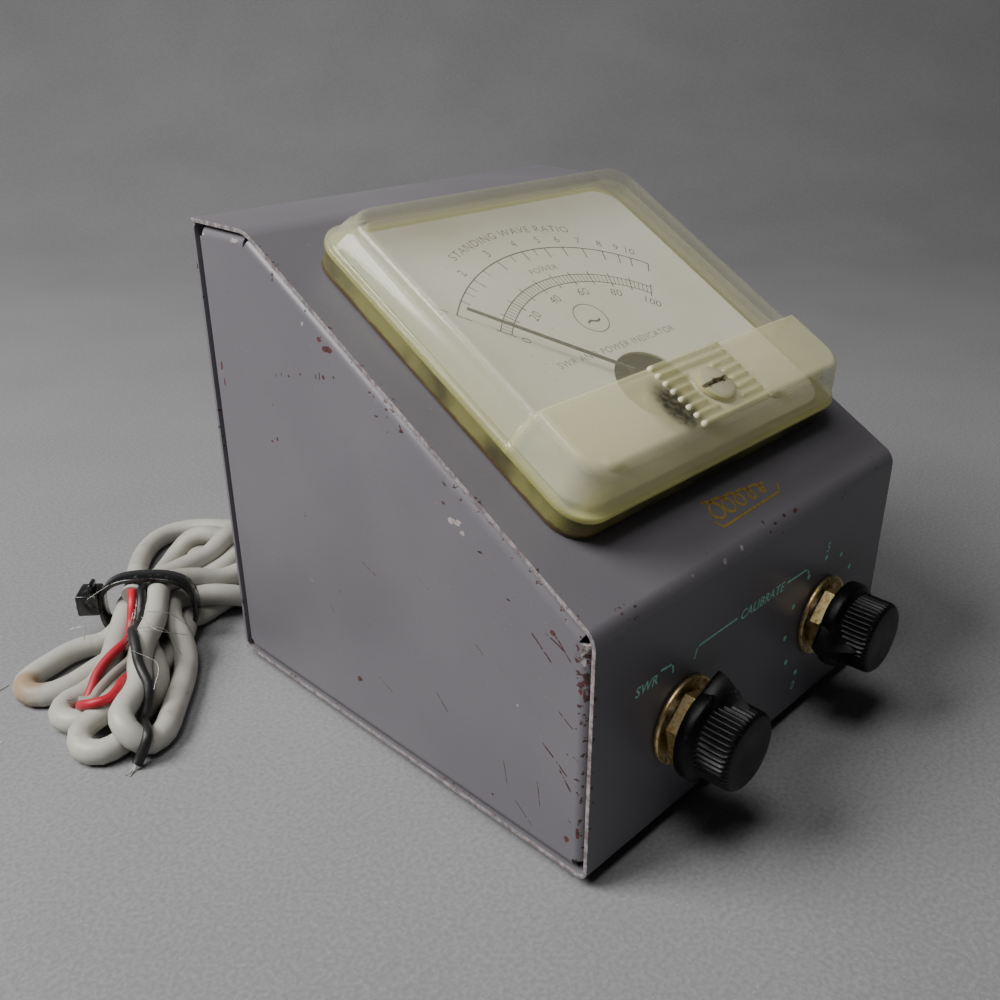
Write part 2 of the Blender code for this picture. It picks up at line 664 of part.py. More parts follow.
def tapered_block(name, foot, top, low, high, corner, brow, paint, parent):
    """A block whose rectangle (x0, y0, x1, y1) changes from foot to top, with rounded edges."""
    def build(bm):
        rings = []
        for (x0, y0, x1, y1), z in ((foot, low), (top, high)):
            rings.append([bm.verts.new(p) for p in ((x0, y0, z), (x1, y0, z), (x1, y1, z), (x0, y1, z))])
        bm.faces.new(rings[0])
        bm.faces.new(rings[1])
        for i in range(4):
            j = (i + 1) % 4
            bm.faces.new((rings[0][i], rings[0][j], rings[1][j], rings[1][i]))
        bm.edges.ensure_lookup_table()
        upright = [e for e in bm.edges if abs(e.verts[0].co.z - e.verts[1].co.z) > (high - low) / 2]
        bmesh.ops.bevel(
            bm, geom=upright, offset=corner, segments=5, profile=0.5, affect="EDGES", clamp_overlap=True,
        )
        if brow:
            rim = [e for e in bm.edges if all(abs(v.co.z - high) < 1e-6 for v in e.verts)]
            bmesh.ops.bevel(
                bm, geom=rim, offset=brow, segments=3, profile=0.5, affect="EDGES", clamp_overlap=True,
            )

    return place_object(name, mesh_from(name, build), paint, parent)


def cover_block(name, inset, paint):
    """The cover's outer or, with an inset, inner shape: slanted walls with a step behind the band."""
    half = METER_WIDTH / 2 + COVER_OVERHANG - inset
    reach = METER_LENGTH / 2 + COVER_OVERHANG / 2 - inset
    front, back = METER_CENTRE - reach, METER_CENTRE + reach
    foot = COVER_FOOT - (MM if inset else 0)
    corner = METER_CORNER_RADIUS + COVER_OVERHANG - inset
    block = tapered_block(
        name,
        (-half, front, half, back),
        (COVER_SLANT - half, front + COVER_SLANT, half - COVER_SLANT, back - COVER_SLANT),
        foot, BAND_HEIGHT - inset, corner, COVER_BROW if not inset else 0, paint, slope_frame,
    )
    step = METER_CENTRE - METER_LENGTH / 2 + BAND_LENGTH - inset
    cut(block, box(
        f"cut_step_{name}", (-2 * half, step, WINDOW_HEIGHT - inset), (2 * half, 2 * back, 2 * BAND_HEIGHT),
        None, slope_frame,
    ))
    return block


def make_meter_cover():
    """The clear cover: slanted walls, a flat window and a raised band over the movement."""
    cover = cover_block("meter_cover", 0.0, CLEAR_PLASTIC)
    cut(cover, cover_block("cut_cover_inside", COVER_WALL, None))
    cut(cover, cylinder(
        "cut_cover_zero", ZERO_SHAFT_RADIUS + GAP, 0, BAND_HEIGHT + MM, None, zero_frame, 20,
    ))
    return cover


# ---------------------------------------------------------------- dial and movement
def dial_screw_places():
    s = METER_CENTRE - DIAL_SCREW_OFFSET
    return (("left", -DIAL_SCREW_X, s), ("right", DIAL_SCREW_X, s))


def make_dial():
    """The printed aluminium dial, with a round opening over the movement."""
    side = METER_WIDTH / 2 - BASE_WALL + COVER_OVERHANG - GAP
    inset = BASE_WALL + GAP
    edge = rounded_rectangle(
        2 * side - MM, METER_LENGTH - 2 * inset, METER_CORNER_RADIUS, (0, METER_CENTRE),
    )
    holes = [circle(DIAL_HOLE_RADIUS, (0, PIVOT_S + DIAL_HOLE_OFFSET))]
    holes += [circle(DIAL_SCREW_RADIUS + GAP, (x, s), 16) for side_name, x, s in dial_screw_places()]
    plate("dial_plate", [edge, *holes], DIAL_UNDERSIDE, DIAL_TOP, DIAL_WHITE, slope_frame)
    top = DIAL_TOP + GAP + 0.9 * MM
    head, r, end = 2.0 * MM, DIAL_SCREW_RADIUS, GAP + BASE_FLOOR + 2 * GAP
    profile = [(0, top), (head * 0.7, top), (head, DIAL_TOP + GAP), (r, DIAL_TOP + GAP), (r, end), (0, end)]
    for name, x, s in dial_screw_places():
        screw = turned(f"dial_screw_{name}", profile, BRASS, slope_frame, 16, at=(x, s, 0))
        cut(screw, box(
            f"cut_dial_screw_{name}", (-head, -0.25 * MM, top - 0.5 * MM), (head, 0.25 * MM, top + MM), None,
            slope_frame, at=(x, s, 0), turn=(0, 0, 0.6),
        ))


def make_yoke_and_core():
    """A soft-iron ring round a magnet core, pinned through on one bar."""
    low = YOKE_TOP - YOKE_LENGTH
    middle = (YOKE_TOP + low) / 2
    ring = [(YOKE_INNER_RADIUS, YOKE_TOP), (YOKE_OUTER_RADIUS, YOKE_TOP), (YOKE_OUTER_RADIUS, low),
            (YOKE_INNER_RADIUS, low)]
    yoke = turned("yoke_ring", ring, SOFT_IRON, pivot_frame, closed=True)
    core = turned(
        "core_magnet", [(0, YOKE_TOP), (CORE_RADIUS, YOKE_TOP), (CORE_RADIUS, low), (0, low)],
        MAGNET_STEEL, pivot_frame,
    )
    across = dict(at=(0, 0, middle), turn=(math.pi / 2, 0, 0))
    reach = YOKE_OUTER_RADIUS + MM
    for made, name in ((yoke, "yoke"), (core, "core")):
        cut(made, cylinder(
            f"cut_{name}_bar", CORE_BAR_RADIUS + GAP, -reach, reach, None, pivot_frame, 16, **across,
        ))
    cylinder("core_bar", CORE_BAR_RADIUS, -reach + MM, reach - MM, BRASS, pivot_frame, 16, **across)


def make_bridges():
    """The brackets that carry the pivots' jewels above and below the yoke."""
    low = YOKE_TOP - YOKE_LENGTH
    width = 2.0 * MM
    leg_in, leg_out = YOKE_INNER_RADIUS + 0.6 * MM, YOKE_OUTER_RADIUS - 0.2 * MM
    hole = 1.2 * MM + GAP
    upper_low, upper_high = 2.7 * MM, 3.5 * MM
    upper = box(
        "upper_bridge", (-leg_out, -width, upper_low), (leg_out, width, upper_high), BRASS, pivot_frame,
    )
    lower_low, lower_high = low - 4.3 * MM, low - 3.5 * MM
    lower = box(
        "lower_bridge", (-leg_out, -width, lower_low), (leg_out, width, lower_high), BRASS, pivot_frame,
    )
    floor = CAN_WALL - CAN_DEPTH + GAP
    for side in (-1, 1):
        x0, x1 = sorted((side * leg_in, side * leg_out))
        join(upper, box(
            f"join_upper_leg_{side + 2}", (x0, -width, YOKE_TOP + GAP), (x1, width, upper_high), None,
            pivot_frame,
        ))
        join(lower, box(
            f"join_lower_leg_{side + 2}", (x0, -width, floor), (x1, width, low - GAP), None, pivot_frame,
        ))
    cut(upper, cylinder("cut_upper_jewel", hole, 0, 2 * upper_high, None, pivot_frame, 16))
    cut(lower, cylinder("cut_lower_jewel", hole, 2 * lower_low, low, None, pivot_frame, 16))
    head, shank = 1.9 * MM, 1.2 * MM
    top = 5.2 * MM
    turned(
        "jewel_screw_upper",
        [(0, top), (head * 0.8, top), (head, top - 0.2 * MM), (head, 4.7 * MM), (shank, 4.7 * MM),
         (shank, 2.4 * MM), (0, 2.4 * MM)],
        BRASS, pivot_frame, 16,
    )
    turned(
        "jewel_screw_lower",
        [(0, lower_high + 0.4 * MM), (shank, lower_high + 0.4 * MM), (shank, lower_low - GAP),
         (head, lower_low - GAP), (head, lower_low - MM), (0, lower_low - MM)],
        BRASS, pivot_frame, 16,
    )


def hairspring(name, height):
    """A flat spiral of three turns between the staff and its bracket."""
    turns, steps, inner, outer = 3, 14, 1.4 * MM, 4.6 * MM
    points = []
    for i in range(turns * steps + 1):
        angle = 2 * math.pi * i / steps
        radius = inner + (outer - inner) * i / (turns * steps)
        points.append((radius * math.cos(angle), radius * math.sin(angle), height))
    tube(name, points, 0.3 * MM, BRASS, pivot_frame, 0)


def make_coil():
    """The coil on its former, with the two halves of the staff; its window encloses the core."""
    low = YOKE_TOP - YOKE_LENGTH
    top, bottom = YOKE_TOP + 1.6 * MM, low - 1.6 * MM
    half, wall, width = COIL_RADIUS + COIL_THICKNESS / 2, COIL_THICKNESS, COIL_WIDTH / 2
    coil = box("moving_coil", (-half, -width, bottom), (half, width, top), COPPER, coil_frame)
    cut(coil, box(
        "cut_coil_window", (wall - half, -2 * width, bottom + 1.1 * MM),
        (half - wall, 2 * width, top - 1.1 * MM),
        None, coil_frame,
    ))
    staff = 0.45 * MM
    join(coil, cylinder("join_staff_upper", staff, top - 0.5 * MM, 2.1 * MM, None, coil_frame, 12))
    join(
        coil, cylinder("join_staff_lower", staff, bottom - 1.2 * MM, bottom + 0.5 * MM, None, coil_frame, 12),
    )


def make_pointer():
    """A cranked pointer on the staff, balanced by three weights."""
    low, high = 0.3 * MM, 0.9 * MM
    rise_in, rise_out = 6.0 * MM, 7.2 * MM
    half, top = POINTER_WIDTH / 2, POINTER_HEIGHT
    hub = turned(
        "pointer", [(0.75 * MM, high), (1.3 * MM, high), (1.3 * MM, low), (0.75 * MM, low)],
        POINTER_GREY, coil_frame, 16, True,
    )
    blade = [
        (0.9 * MM, low), (rise_in + 0.2 * MM, low), (rise_out, top), (POINTER_LENGTH, top),
        (POINTER_LENGTH, top + POINTER_THICKNESS), (rise_out - 0.5 * MM, top + POINTER_THICKNESS),
        (rise_in - 0.3 * MM, high), (0.9 * MM, high),
    ]
    join(hub, plate("join_blade", [blade], -half, half, None, coil_frame, turn=(math.pi / 2, 0, math.pi / 2)))
    for number, angle in enumerate((math.pi / 2, math.pi, 3 * math.pi / 2), 1):
        turn = (0, 0, angle)
        join(hub, box(f"join_arm_{number}", (-0.3 * MM, 0.9 * MM, low), (0.3 * MM, 6.0 * MM, high), None,
                      coil_frame, turn=turn))
        join(hub, box(
            f"join_weight_{number}", (-0.8 * MM, 4.4 * MM, low - 0.2 * MM), (0.8 * MM, 6.4 * MM, 1.3 * MM),
            None, coil_frame, turn=turn,
        ))


def make_zero_adjuster():
    """The slotted screw in the cover, whose crank pin turns the forked arm round the pivot."""
    head, shaft = ZERO_HEAD_RADIUS, ZERO_SHAFT_RADIUS
    seat, top = BAND_HEIGHT + GAP, BAND_HEIGHT + GAP + 1.4 * MM
    end = DIAL_TOP + 0.8 * MM
    screw = turned(
        "zero_screw",
        [(0, top), (head * 0.8, top - 0.1 * MM), (head, top - 0.6 * MM), (head, seat), (shaft, seat),
         (shaft, end), (0, end)],
        CLEAR_PLASTIC, zero_frame, 28,
    )
    cut(screw, box(
        "cut_zero_slot", (-2 * head, -0.45 * MM, top - 0.9 * MM), (2 * head, 0.45 * MM, top + MM), None,
        zero_frame,
    ))
    arm_low, arm_high = 3.8 * MM, 4.4 * MM
    join(screw, cylinder(
        "join_zero_pin", ZERO_PIN_RADIUS, arm_low - 0.1 * MM, end + 0.5 * MM, None, zero_frame, 12,
        at=(0, ZERO_PIN_THROW, 0),
    ))
    reach = ZERO_SCREW_DROP - ZERO_PIN_THROW
    arm = turned(
        "zero_arm",
        [(1.2 * MM + GAP, arm_high), (3.0 * MM, arm_high), (3.0 * MM, arm_low), (1.2 * MM + GAP, arm_low)],
        BRASS, pivot_frame, 20, True,
    )
    join(arm, box("join_fork", (-2.0 * MM, -reach - 1.6 * MM, arm_low), (2.0 * MM, -2.2 * MM, arm_high), None,
                  pivot_frame))
    slot = ZERO_PIN_RADIUS + 0.4 * MM
    cut(arm, box(
        "cut_fork", (-slot, -2 * reach, 0), (slot, -reach + ZERO_PIN_RADIUS + MM, 2 * arm_high), None,
        pivot_frame,
    ))


# ---------------------------------------------------------------- front controls
def make_washer_and_nut(prefix, holder):
    bore = BUSHING_RADIUS + GAP
    top = GAP + WASHER_THICKNESS
    turned(
        f"{prefix}_washer",
        [(bore, top - 0.3 * MM), (WASHER_RADIUS - 1.3 * MM, top - 0.3 * MM), (WASHER_RADIUS - 0.6 * MM, top),
         (WASHER_RADIUS, top - 0.4 * MM), (WASHER_RADIUS, GAP), (bore, GAP)],
        BRASS, holder, 36, True,
    )
    nut_high = top + GAP + NUT_THICKNESS
    nut = cylinder(
        f"{prefix}_nut", NUT_FLATS / math.sqrt(3), top + GAP, nut_high, BRASS, holder, 6, turn=(0, 0, 0.25),
    )
    cut(nut, cylinder(f"cut_{prefix}_nut", bore, 0, 2 * nut_high, None, holder, 24))
    chamfer = turned(
        f"keep_{prefix}_nut",
        [(0, nut_high + GAP), (NUT_FLATS / 2, nut_high + GAP),
         (NUT_FLATS / 2 + 1.6 * MM, nut_high - 0.9 * MM),
         (NUT_FLATS / 2 + 1.6 * MM, 0), (0, 0)],
        None, holder, 32,
    )
    boolean(nut, chamfer, "INTERSECT")


def make_shaft(prefix, holder, back):
    profile = [
        (0, KNOB_PROUD - 2.7 * MM), (SHAFT_RADIUS - 0.4 * MM, KNOB_PROUD - 2.7 * MM),
        (SHAFT_RADIUS, KNOB_PROUD - 3.1 * MM), (SHAFT_RADIUS, back), (0, back),
    ]
    return turned(f"{prefix}_shaft", profile, SCREW_STEEL, holder, 24)


def make_knob(prefix, holder, angle):
    """A moulded pointer knob: round barrel on a skirt, with a ridged beak, and its set screw."""
    foot, top = KNOB_STANDOFF, KNOB_PROUD
    skirt, barrel, bore = KNOB_SKIRT_RADIUS, KNOB_BARREL_RADIUS, SHAFT_RADIUS + GAP
    ledge = foot + KNOB_SKIRT_LENGTH
    turn = (0, 0, angle - math.pi / 2)
    knob = turned(
        f"{prefix}_knob",
        [(0, top), (barrel * 0.55, top - 0.15 * MM), (barrel * 0.86, top - 0.5 * MM),
         (barrel * 0.97, top - MM),
         (barrel, top - 1.7 * MM), (barrel + 0.2 * MM, ledge + 0.4 * MM), (skirt - 0.5 * MM, ledge),
         (skirt, ledge - 0.6 * MM), (skirt, foot), (0, foot)],
        BAKELITE, holder, 36, turn=turn,
    )

    def build(bm):
        ridge = 0.3 * MM
        points = [(x, KNOB_BEAK_RADIUS - 0.3 * MM, foot + 0.2 * MM) for x in (-ridge, ridge)]
        points += [(x, KNOB_BEAK_RADIUS, foot + 1.3 * MM) for x in (-ridge, ridge)]
        points += [(x, barrel - 0.9 * MM, top - 1.4 * MM) for x in (-ridge, ridge)]
        for z in (foot + 0.2 * MM, ledge - 0.5 * MM):
            for step in range(13):
                a = math.pi * step / 12
                radius = skirt - 0.35 * MM
                points.append((radius * math.cos(a), radius * math.sin(a), z))
        for point in points:
            bm.verts.new(point)
        hull = bmesh.ops.convex_hull(bm, input=bm.verts)
        loose = {g for g in hull["geom_interior"] + hull["geom_unused"] if isinstance(g, bmesh.types.BMVert)}
        bmesh.ops.delete(bm, geom=list(loose), context="VERTS")

    join(knob, place_object(f"join_{prefix}_beak", mesh_from("beak", build), None, holder, turn=turn))
    cut(knob, cylinder(f"cut_{prefix}_bore", bore, foot - MM, top - 2.2 * MM, None, holder, 24))
    height = foot + KNOB_SKIRT_LENGTH / 2
    side = dict(at=(0, 0, height), turn=(math.pi / 2, 0, angle - math.pi / 2))
    cut(knob, cylinder(
        f"cut_{prefix}_screw_hole", SET_SCREW_RADIUS + GAP, 0, skirt + MM, None, holder, 16, **side,
    ))
    screw = cylinder(
        f"{prefix}_set_screw", SET_SCREW_RADIUS, bore, skirt - 1.2 * MM, SCREW_STEEL, holder, 16, **side,
    )
    cut(screw, box(
        f"cut_{prefix}_set_slot", (-2 * SET_SCREW_RADIUS, -0.3 * MM, skirt - 2.0 * MM),
        (2 * SET_SCREW_RADIUS, 0.3 * MM, skirt), None, holder, **side,
    ))


def make_switch():
    """A rotary switch: bushing and detent housing, a phenolic wafer behind, and the shaft."""
    back = -SHEET - GAP
    bore = SHAFT_RADIUS + GAP
    rear = back - SWITCH_BODY_LENGTH
    switch = turned(
        "switch_body",
        [(bore, BUSHING_PROUD), (BUSHING_RADIUS - 0.4 * MM, BUSHING_PROUD),
         (BUSHING_RADIUS, BUSHING_PROUD - 0.4 * MM),
         (BUSHING_RADIUS, back), (SWITCH_BODY_RADIUS, back), (SWITCH_BODY_RADIUS, rear), (bore, rear)],
        SCREW_STEEL, switch_frame, 32, True,
    )
    far = rear - WAFER_STANDOFF - WAFER_THICKNESS
    for number, angle in enumerate((0.0, math.pi), 1):
        join(switch, cylinder(
            f"join_wafer_post_{number}", 1.2 * MM, rear - WAFER_STANDOFF + GAP, rear + MM, None,
            switch_frame, 12,
            at=(0.8 * SWITCH_BODY_RADIUS * math.cos(angle), 0.8 * SWITCH_BODY_RADIUS * math.sin(angle), 0),
        ))
    wafer = turned(
        "switch_wafer",
        [(bore, far + WAFER_THICKNESS), (WAFER_RADIUS, far + WAFER_THICKNESS), (WAFER_RADIUS, far),
         (bore, far)],
        PHENOLIC, switch_frame, 32, True,
    )
    for number in range(6):
        angle = math.pi * (number + 0.5) / 3
        join(wafer, box(
            f"join_wafer_lug_{number + 1}", (WAFER_RADIUS - 2 * MM, -MM, far + 0.4 * MM),
            (WAFER_RADIUS + 3 * MM, MM, far + 1.0 * MM), None, switch_frame, turn=(0, 0, angle),
        ))
    make_shaft("switch", switch_frame, far - 1.5 * MM)
    make_washer_and_nut("switch", switch_frame)
    make_knob("switch", switch_frame, SWITCH_REST_ANGLE)


def make_pot():
    """A carbon potentiometer: bushing, round can and three solder lugs, and the shaft."""
    back = -SHEET - GAP
    bore = SHAFT_RADIUS + GAP
    rear = back - POT_BODY_LENGTH
    pot = turned(
        "pot_body",
        [(bore, BUSHING_PROUD), (BUSHING_RADIUS - 0.4 * MM, BUSHING_PROUD),
         (BUSHING_RADIUS, BUSHING_PROUD - 0.4 * MM),
         (BUSHING_RADIUS, back), (POT_BODY_RADIUS, back), (POT_BODY_RADIUS, rear + MM),
         (POT_BODY_RADIUS - MM, rear),
         (0, rear), (0, rear + 1.5 * MM), (bore, rear + 1.5 * MM)],
        SCREW_STEEL, pot_frame, 32, True,
    )
    for number, shift in enumerate((-5.0, 0.0, 5.0), 1):
        join(pot, box(
            f"join_pot_lug_{number}", (shift * MM - 1.2 * MM, -POT_BODY_RADIUS - 2.8 * MM, back - 2.6 * MM),
            (shift * MM + 1.2 * MM, 2 * MM - POT_BODY_RADIUS, back - 2.0 * MM), None, pot_frame,
        ))
    make_shaft("pot", pot_frame, rear + 1.5 * MM + GAP)
    make_washer_and_nut("pot", pot_frame)
    make_knob("pot", pot_frame, POT_REST_ANGLE)


# ---------------------------------------------------------------- cord
# The free cord lies on the floor behind the left rear corner.  The outline of its hank, the tie's
# place and the leads' routes are set from that corner.
CORNER = Vector((-CASE_WIDTH / 2, REAR_Y))
TIE_PLACE = CORNER + Vector((-12.0, 23.0)) * MM
TIE_HEADING = math.radians(228.5)  # the way from the tie to the near ends of the loops
CORD_R = CORD_DIAMETER / 2


def behind_corner(points):
    return [(CORNER.x + x * MM, CORNER.y + y * MM, *(h * MM for h in rest)) for x, y, *rest in points]


HANK_OUTLINE = behind_corner([
    (-50, 21), (-50, 12), (-46.5, -4), (-46.5, -17), (-38, -21), (-30, -18), (-18, 1), (-5, 14),
    (8, 16), (26, 17), (38, 24), (42, 35), (38, 49), (28, 62), (16, 72), (3, 68), (-6, 54),
    (-14, 40), (-20.4, 30.6), (-28, 29), (-40, 27),
])


def make_cord_lead():
    """The stretch from the grommet down to the floor and along to the hank."""
    height = FOOT_HEIGHT + GROMMET_HEIGHT
    inside = REAR_Y - 8 * MM
    end_x, end_y = CORNER.x + 42.4 * MM, CORNER.y + 35.0 * MM
    route = [
        (GROMMET_X, inside, height), (GROMMET_X, REAR_Y, height),
        (GROMMET_X, REAR_Y + 8 * MM, height - 0.6 * MM),
        (GROMMET_X - 0.5 * MM, REAR_Y + 17 * MM, height - 6.5 * MM),
        (GROMMET_X - 4 * MM, REAR_Y + 25 * MM, CORD_R + 2.2 * MM),
        (GROMMET_X - 11 * MM, REAR_Y + 32 * MM, CORD_R + 0.2 * MM),
        (end_x + 6 * MM, end_y, CORD_R + 0.2 * MM), (end_x, end_y, CORD_R + 0.2 * MM),
    ]
    tube("cord_lead", smooth_route(route, 2.5 * CORD_DIAMETER / 2), CORD_DIAMETER, CORD_GREY)


def make_hank():
    """The hank's outer shape, waisted where the tie holds it."""
    hank = plate(
        "cord_hank", [closed_curve(HANK_OUTLINE, 3)], HANK_REST, HANK_REST + HANK_HEIGHT, CORD_GREY, None,
    )
    reach = 2 * TIE_HALF_WIDTH
    core = rounded_rectangle(
        2 * (TIE_HALF_WIDTH - GAP), TIE_INNER_HEIGHT - 2 * GAP, 4 * MM,
        (0, TIE_THICKNESS + TIE_INNER_HEIGHT / 2),
    )
    slab = [(-reach, -MM), (reach, -MM), (reach, 2 * TIE_INNER_HEIGHT), (-reach, 2 * TIE_INNER_HEIGHT)]
    half = TIE_WIDTH / 2 + GAP
    cut(hank, plate("cut_hank_waist", [slab, core], -half, half, None, tie_frame))
    cut(hank, box(
        "cut_hank_head", (-reach, TIE_HEAD_LOW - GAP, -TIE_HEAD_LENGTH / 2 - GAP),
        (GAP - TIE_HALF_WIDTH, 2 * TIE_INNER_HEIGHT, TIE_HEAD_LENGTH / 2 + GAP), None, tie_frame,
    ))


def closed_curve(points, steps):
    """A closed outline with the given steps between its points, on a Catmull-Rom curve."""
    made, count = [], len(points)
    for i in range(count):
        before, start, end, after = (Vector(points[(i + k) % count]) for k in (-1, 0, 1, 2))
        for step in range(steps):
            t = step / steps
            bend = 2 * start + (end - before) * t + (2 * before - 5 * start + 4 * end - after) * t * t
            bend += (3 * start - before - 3 * end + after) * t**3
            made.append(tuple(bend / 2))
    return made


def make_cord_end():
    """The last stretch of the cord, on top of the hank and under the tie."""
    height = (HANK_REST + HANK_HEIGHT + GAP) / MM + CORD_R / MM
    route = behind_corner(
        [(10, 28, height), (2, 27.5, height), (-6, 26, height), (-12, 23, height), (-15.5, 19.3, height)],
    )
    tube("cord_end", smooth_route(route, CORD_DIAMETER), CORD_DIAMETER, CORD_GREY)


def make_tie():
    """A ratchet cable tie drawn round the hank and the cord's end, its head at the left."""
    middle = (0, TIE_THICKNESS + TIE_INNER_HEIGHT / 2)
    inner = rounded_rectangle(2 * TIE_HALF_WIDTH, TIE_INNER_HEIGHT, 4.3 * MM, middle)
    outer = rounded_rectangle(
        2 * (TIE_HALF_WIDTH + TIE_THICKNESS), TIE_INNER_HEIGHT + 2 * TIE_THICKNESS,
        4.3 * MM + TIE_THICKNESS, middle,
    )
    tie = plate("cable_tie", [outer, inner], -TIE_WIDTH / 2, TIE_WIDTH / 2, TIE_BLACK, tie_frame)
    edge = TIE_HALF_WIDTH + TIE_THICKNESS / 2
    join(tie, box(
        "join_tie_head", (-edge - TIE_HEAD_DEPTH, TIE_HEAD_LOW, -TIE_HEAD_LENGTH / 2),
        (-edge, TIE_HEAD_LOW + TIE_HEAD_DEPTH, TIE_HEAD_LENGTH / 2), None, tie_frame,
    ))


def make_leads():
    """The stripped end's red and black wires and the twisted shield, lying on the loops."""
    rest = (HANK_REST + HANK_HEIGHT + GAP) / MM + LEAD_DIAMETER / MM / 2
    high = rest + 2.2
    red = behind_corner([
        (-16.6, 18.8, high), (-21.8, 14.6, rest + 0.8), (-27, 11.4, rest), (-34, 8.5, rest),
        (-38.5, 4.5, rest),
        (-41.0, -1.5, rest), (-40.5, -6.5, rest), (-36.5, -6.2, rest), (-31.5, -2.0, rest),
        (-27.6, 2.0, rest),
    ])
    black = behind_corner([
        (-13.2, 15.4, high), (-17.0, 11.8, rest + 1.0), (-20.2, 7.6, rest), (-23.5, 2.6, rest),
        (-27.5, -4.0, rest), (-33.0, -11.0, rest), (-39.0, -17.5, rest),
    ])
    low = rest - 0.3
    shield = behind_corner([
        (-16.8, 14.9, high - 1.2), (-20.8, 10.9, low + 0.2), (-25.2, 7.3, low), (-30.0, 4.4, low),
        (-33.5, 1.0, low),
    ])
    tube("lead_red", smooth_route(red, 4.5 * MM), LEAD_DIAMETER, LEAD_RED, resolution=1)
    tube("lead_black", smooth_route(black, 4.5 * MM), LEAD_DIAMETER, LEAD_BLACK, resolution=1)
    tube("lead_shield", smooth_route(shield, 4.5 * MM), 1.6 * MM, TINNED, resolution=1)


# ---------------------------------------------------------------- build
coil_frame = frame("coil_frame", (0, 0, 0), (0, 0, POINTER_HALF_SWEEP), pivot_frame)
switch_frame = frame("switch_frame", (-KNOB_SPACING / 2, KNOB_HEIGHT_ON_PANEL, 0), parent=front_frame)
pot_frame = frame("pot_frame", (KNOB_SPACING / 2, KNOB_HEIGHT_ON_PANEL, 0), parent=front_frame)
# tie_frame: X across the hank, Y up, Z along it towards the near ends of the loops.
tie_frame = frame("tie_frame", (*TIE_PLACE, 0), (math.pi / 2, 0, TIE_HEADING + math.pi / 2))

make_case_wrap()
make_side_panel("side_panel_left", -1)
make_side_panel("side_panel_right", 1)
make_rear_panel()
make_rear_screws()
make_feet()
make_grommet()
make_meter_base()
make_meter_nuts()
make_meter_can()
make_terminals()
make_meter_cover()
make_dial()
make_yoke_and_core()
make_bridges()
hairspring("upper_spring", 1.8 * MM)
hairspring("lower_spring", YOKE_TOP - YOKE_LENGTH - 2.7 * MM)
make_coil()
make_pointer()
make_zero_adjuster()
make_switch()
make_pot()
make_cord_lead()
make_hank()
make_cord_end()
make_tie()
make_leads()
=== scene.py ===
import math

import bmesh
import bpy
import numpy as np
from mathutils import Matrix, Vector


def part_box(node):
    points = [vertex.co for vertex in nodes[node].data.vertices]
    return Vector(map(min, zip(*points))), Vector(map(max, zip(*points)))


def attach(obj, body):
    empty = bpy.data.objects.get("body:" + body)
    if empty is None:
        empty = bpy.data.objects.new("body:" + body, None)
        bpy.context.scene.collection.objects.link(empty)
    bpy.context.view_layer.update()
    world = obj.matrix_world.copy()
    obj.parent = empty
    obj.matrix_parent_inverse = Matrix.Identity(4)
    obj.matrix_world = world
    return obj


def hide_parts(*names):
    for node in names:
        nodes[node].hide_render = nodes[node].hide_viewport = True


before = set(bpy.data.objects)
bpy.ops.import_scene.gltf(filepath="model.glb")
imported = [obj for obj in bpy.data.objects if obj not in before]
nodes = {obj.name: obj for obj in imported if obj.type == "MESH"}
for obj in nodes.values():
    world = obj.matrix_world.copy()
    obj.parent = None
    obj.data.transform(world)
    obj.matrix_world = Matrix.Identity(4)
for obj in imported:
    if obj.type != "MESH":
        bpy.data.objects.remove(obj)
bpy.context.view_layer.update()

MM = 0.001

# ---------------------------------------------------------------- the shelf and the light
# A plain pale sheet to stand the meter on, a broad soft lamp above the left rear, and a weak one
# overhead.  The camera looks down at the meter's left front edge.


class Level:
    """A number that varies over a surface; Python arithmetic on it adds Math nodes to its finish."""

    def __init__(self, finish, socket):
        self.finish = finish
        self.socket = socket

    def math(self, operation, *values):
        return self.finish.node("Math", {"operation": operation}, dict(enumerate(values)))

    def __add__(self, other):
        return self.math("ADD", self, other)

    def __radd__(self, other):
        return self.math("ADD", other, self)

    def __sub__(self, other):
        return self.math("SUBTRACT", self, other)

    def __rsub__(self, other):
        return self.math("SUBTRACT", other, self)

    def __mul__(self, other):
        return self.math("MULTIPLY", self, other)

    def __rmul__(self, other):
        return self.math("MULTIPLY", other, self)

    def __abs__(self):
        return self.math("ABSOLUTE", self)

    def lower(self, other):
        return self.math("MINIMUM", self, other)

    def upper(self, other):
        return self.math("MAXIMUM", self, other)

    def rise(self, low, high):
        """0 below low, 1 above high and smooth between them; with low above high it falls."""
        if low > high:
            return 1 - self.rise(high, low)
        return self.finish.node(
            "MapRange", {"interpolation_type": "SMOOTHSTEP"}, {0: self, 1: low, 2: high, 3: 0.0, 4: 1.0},
        )


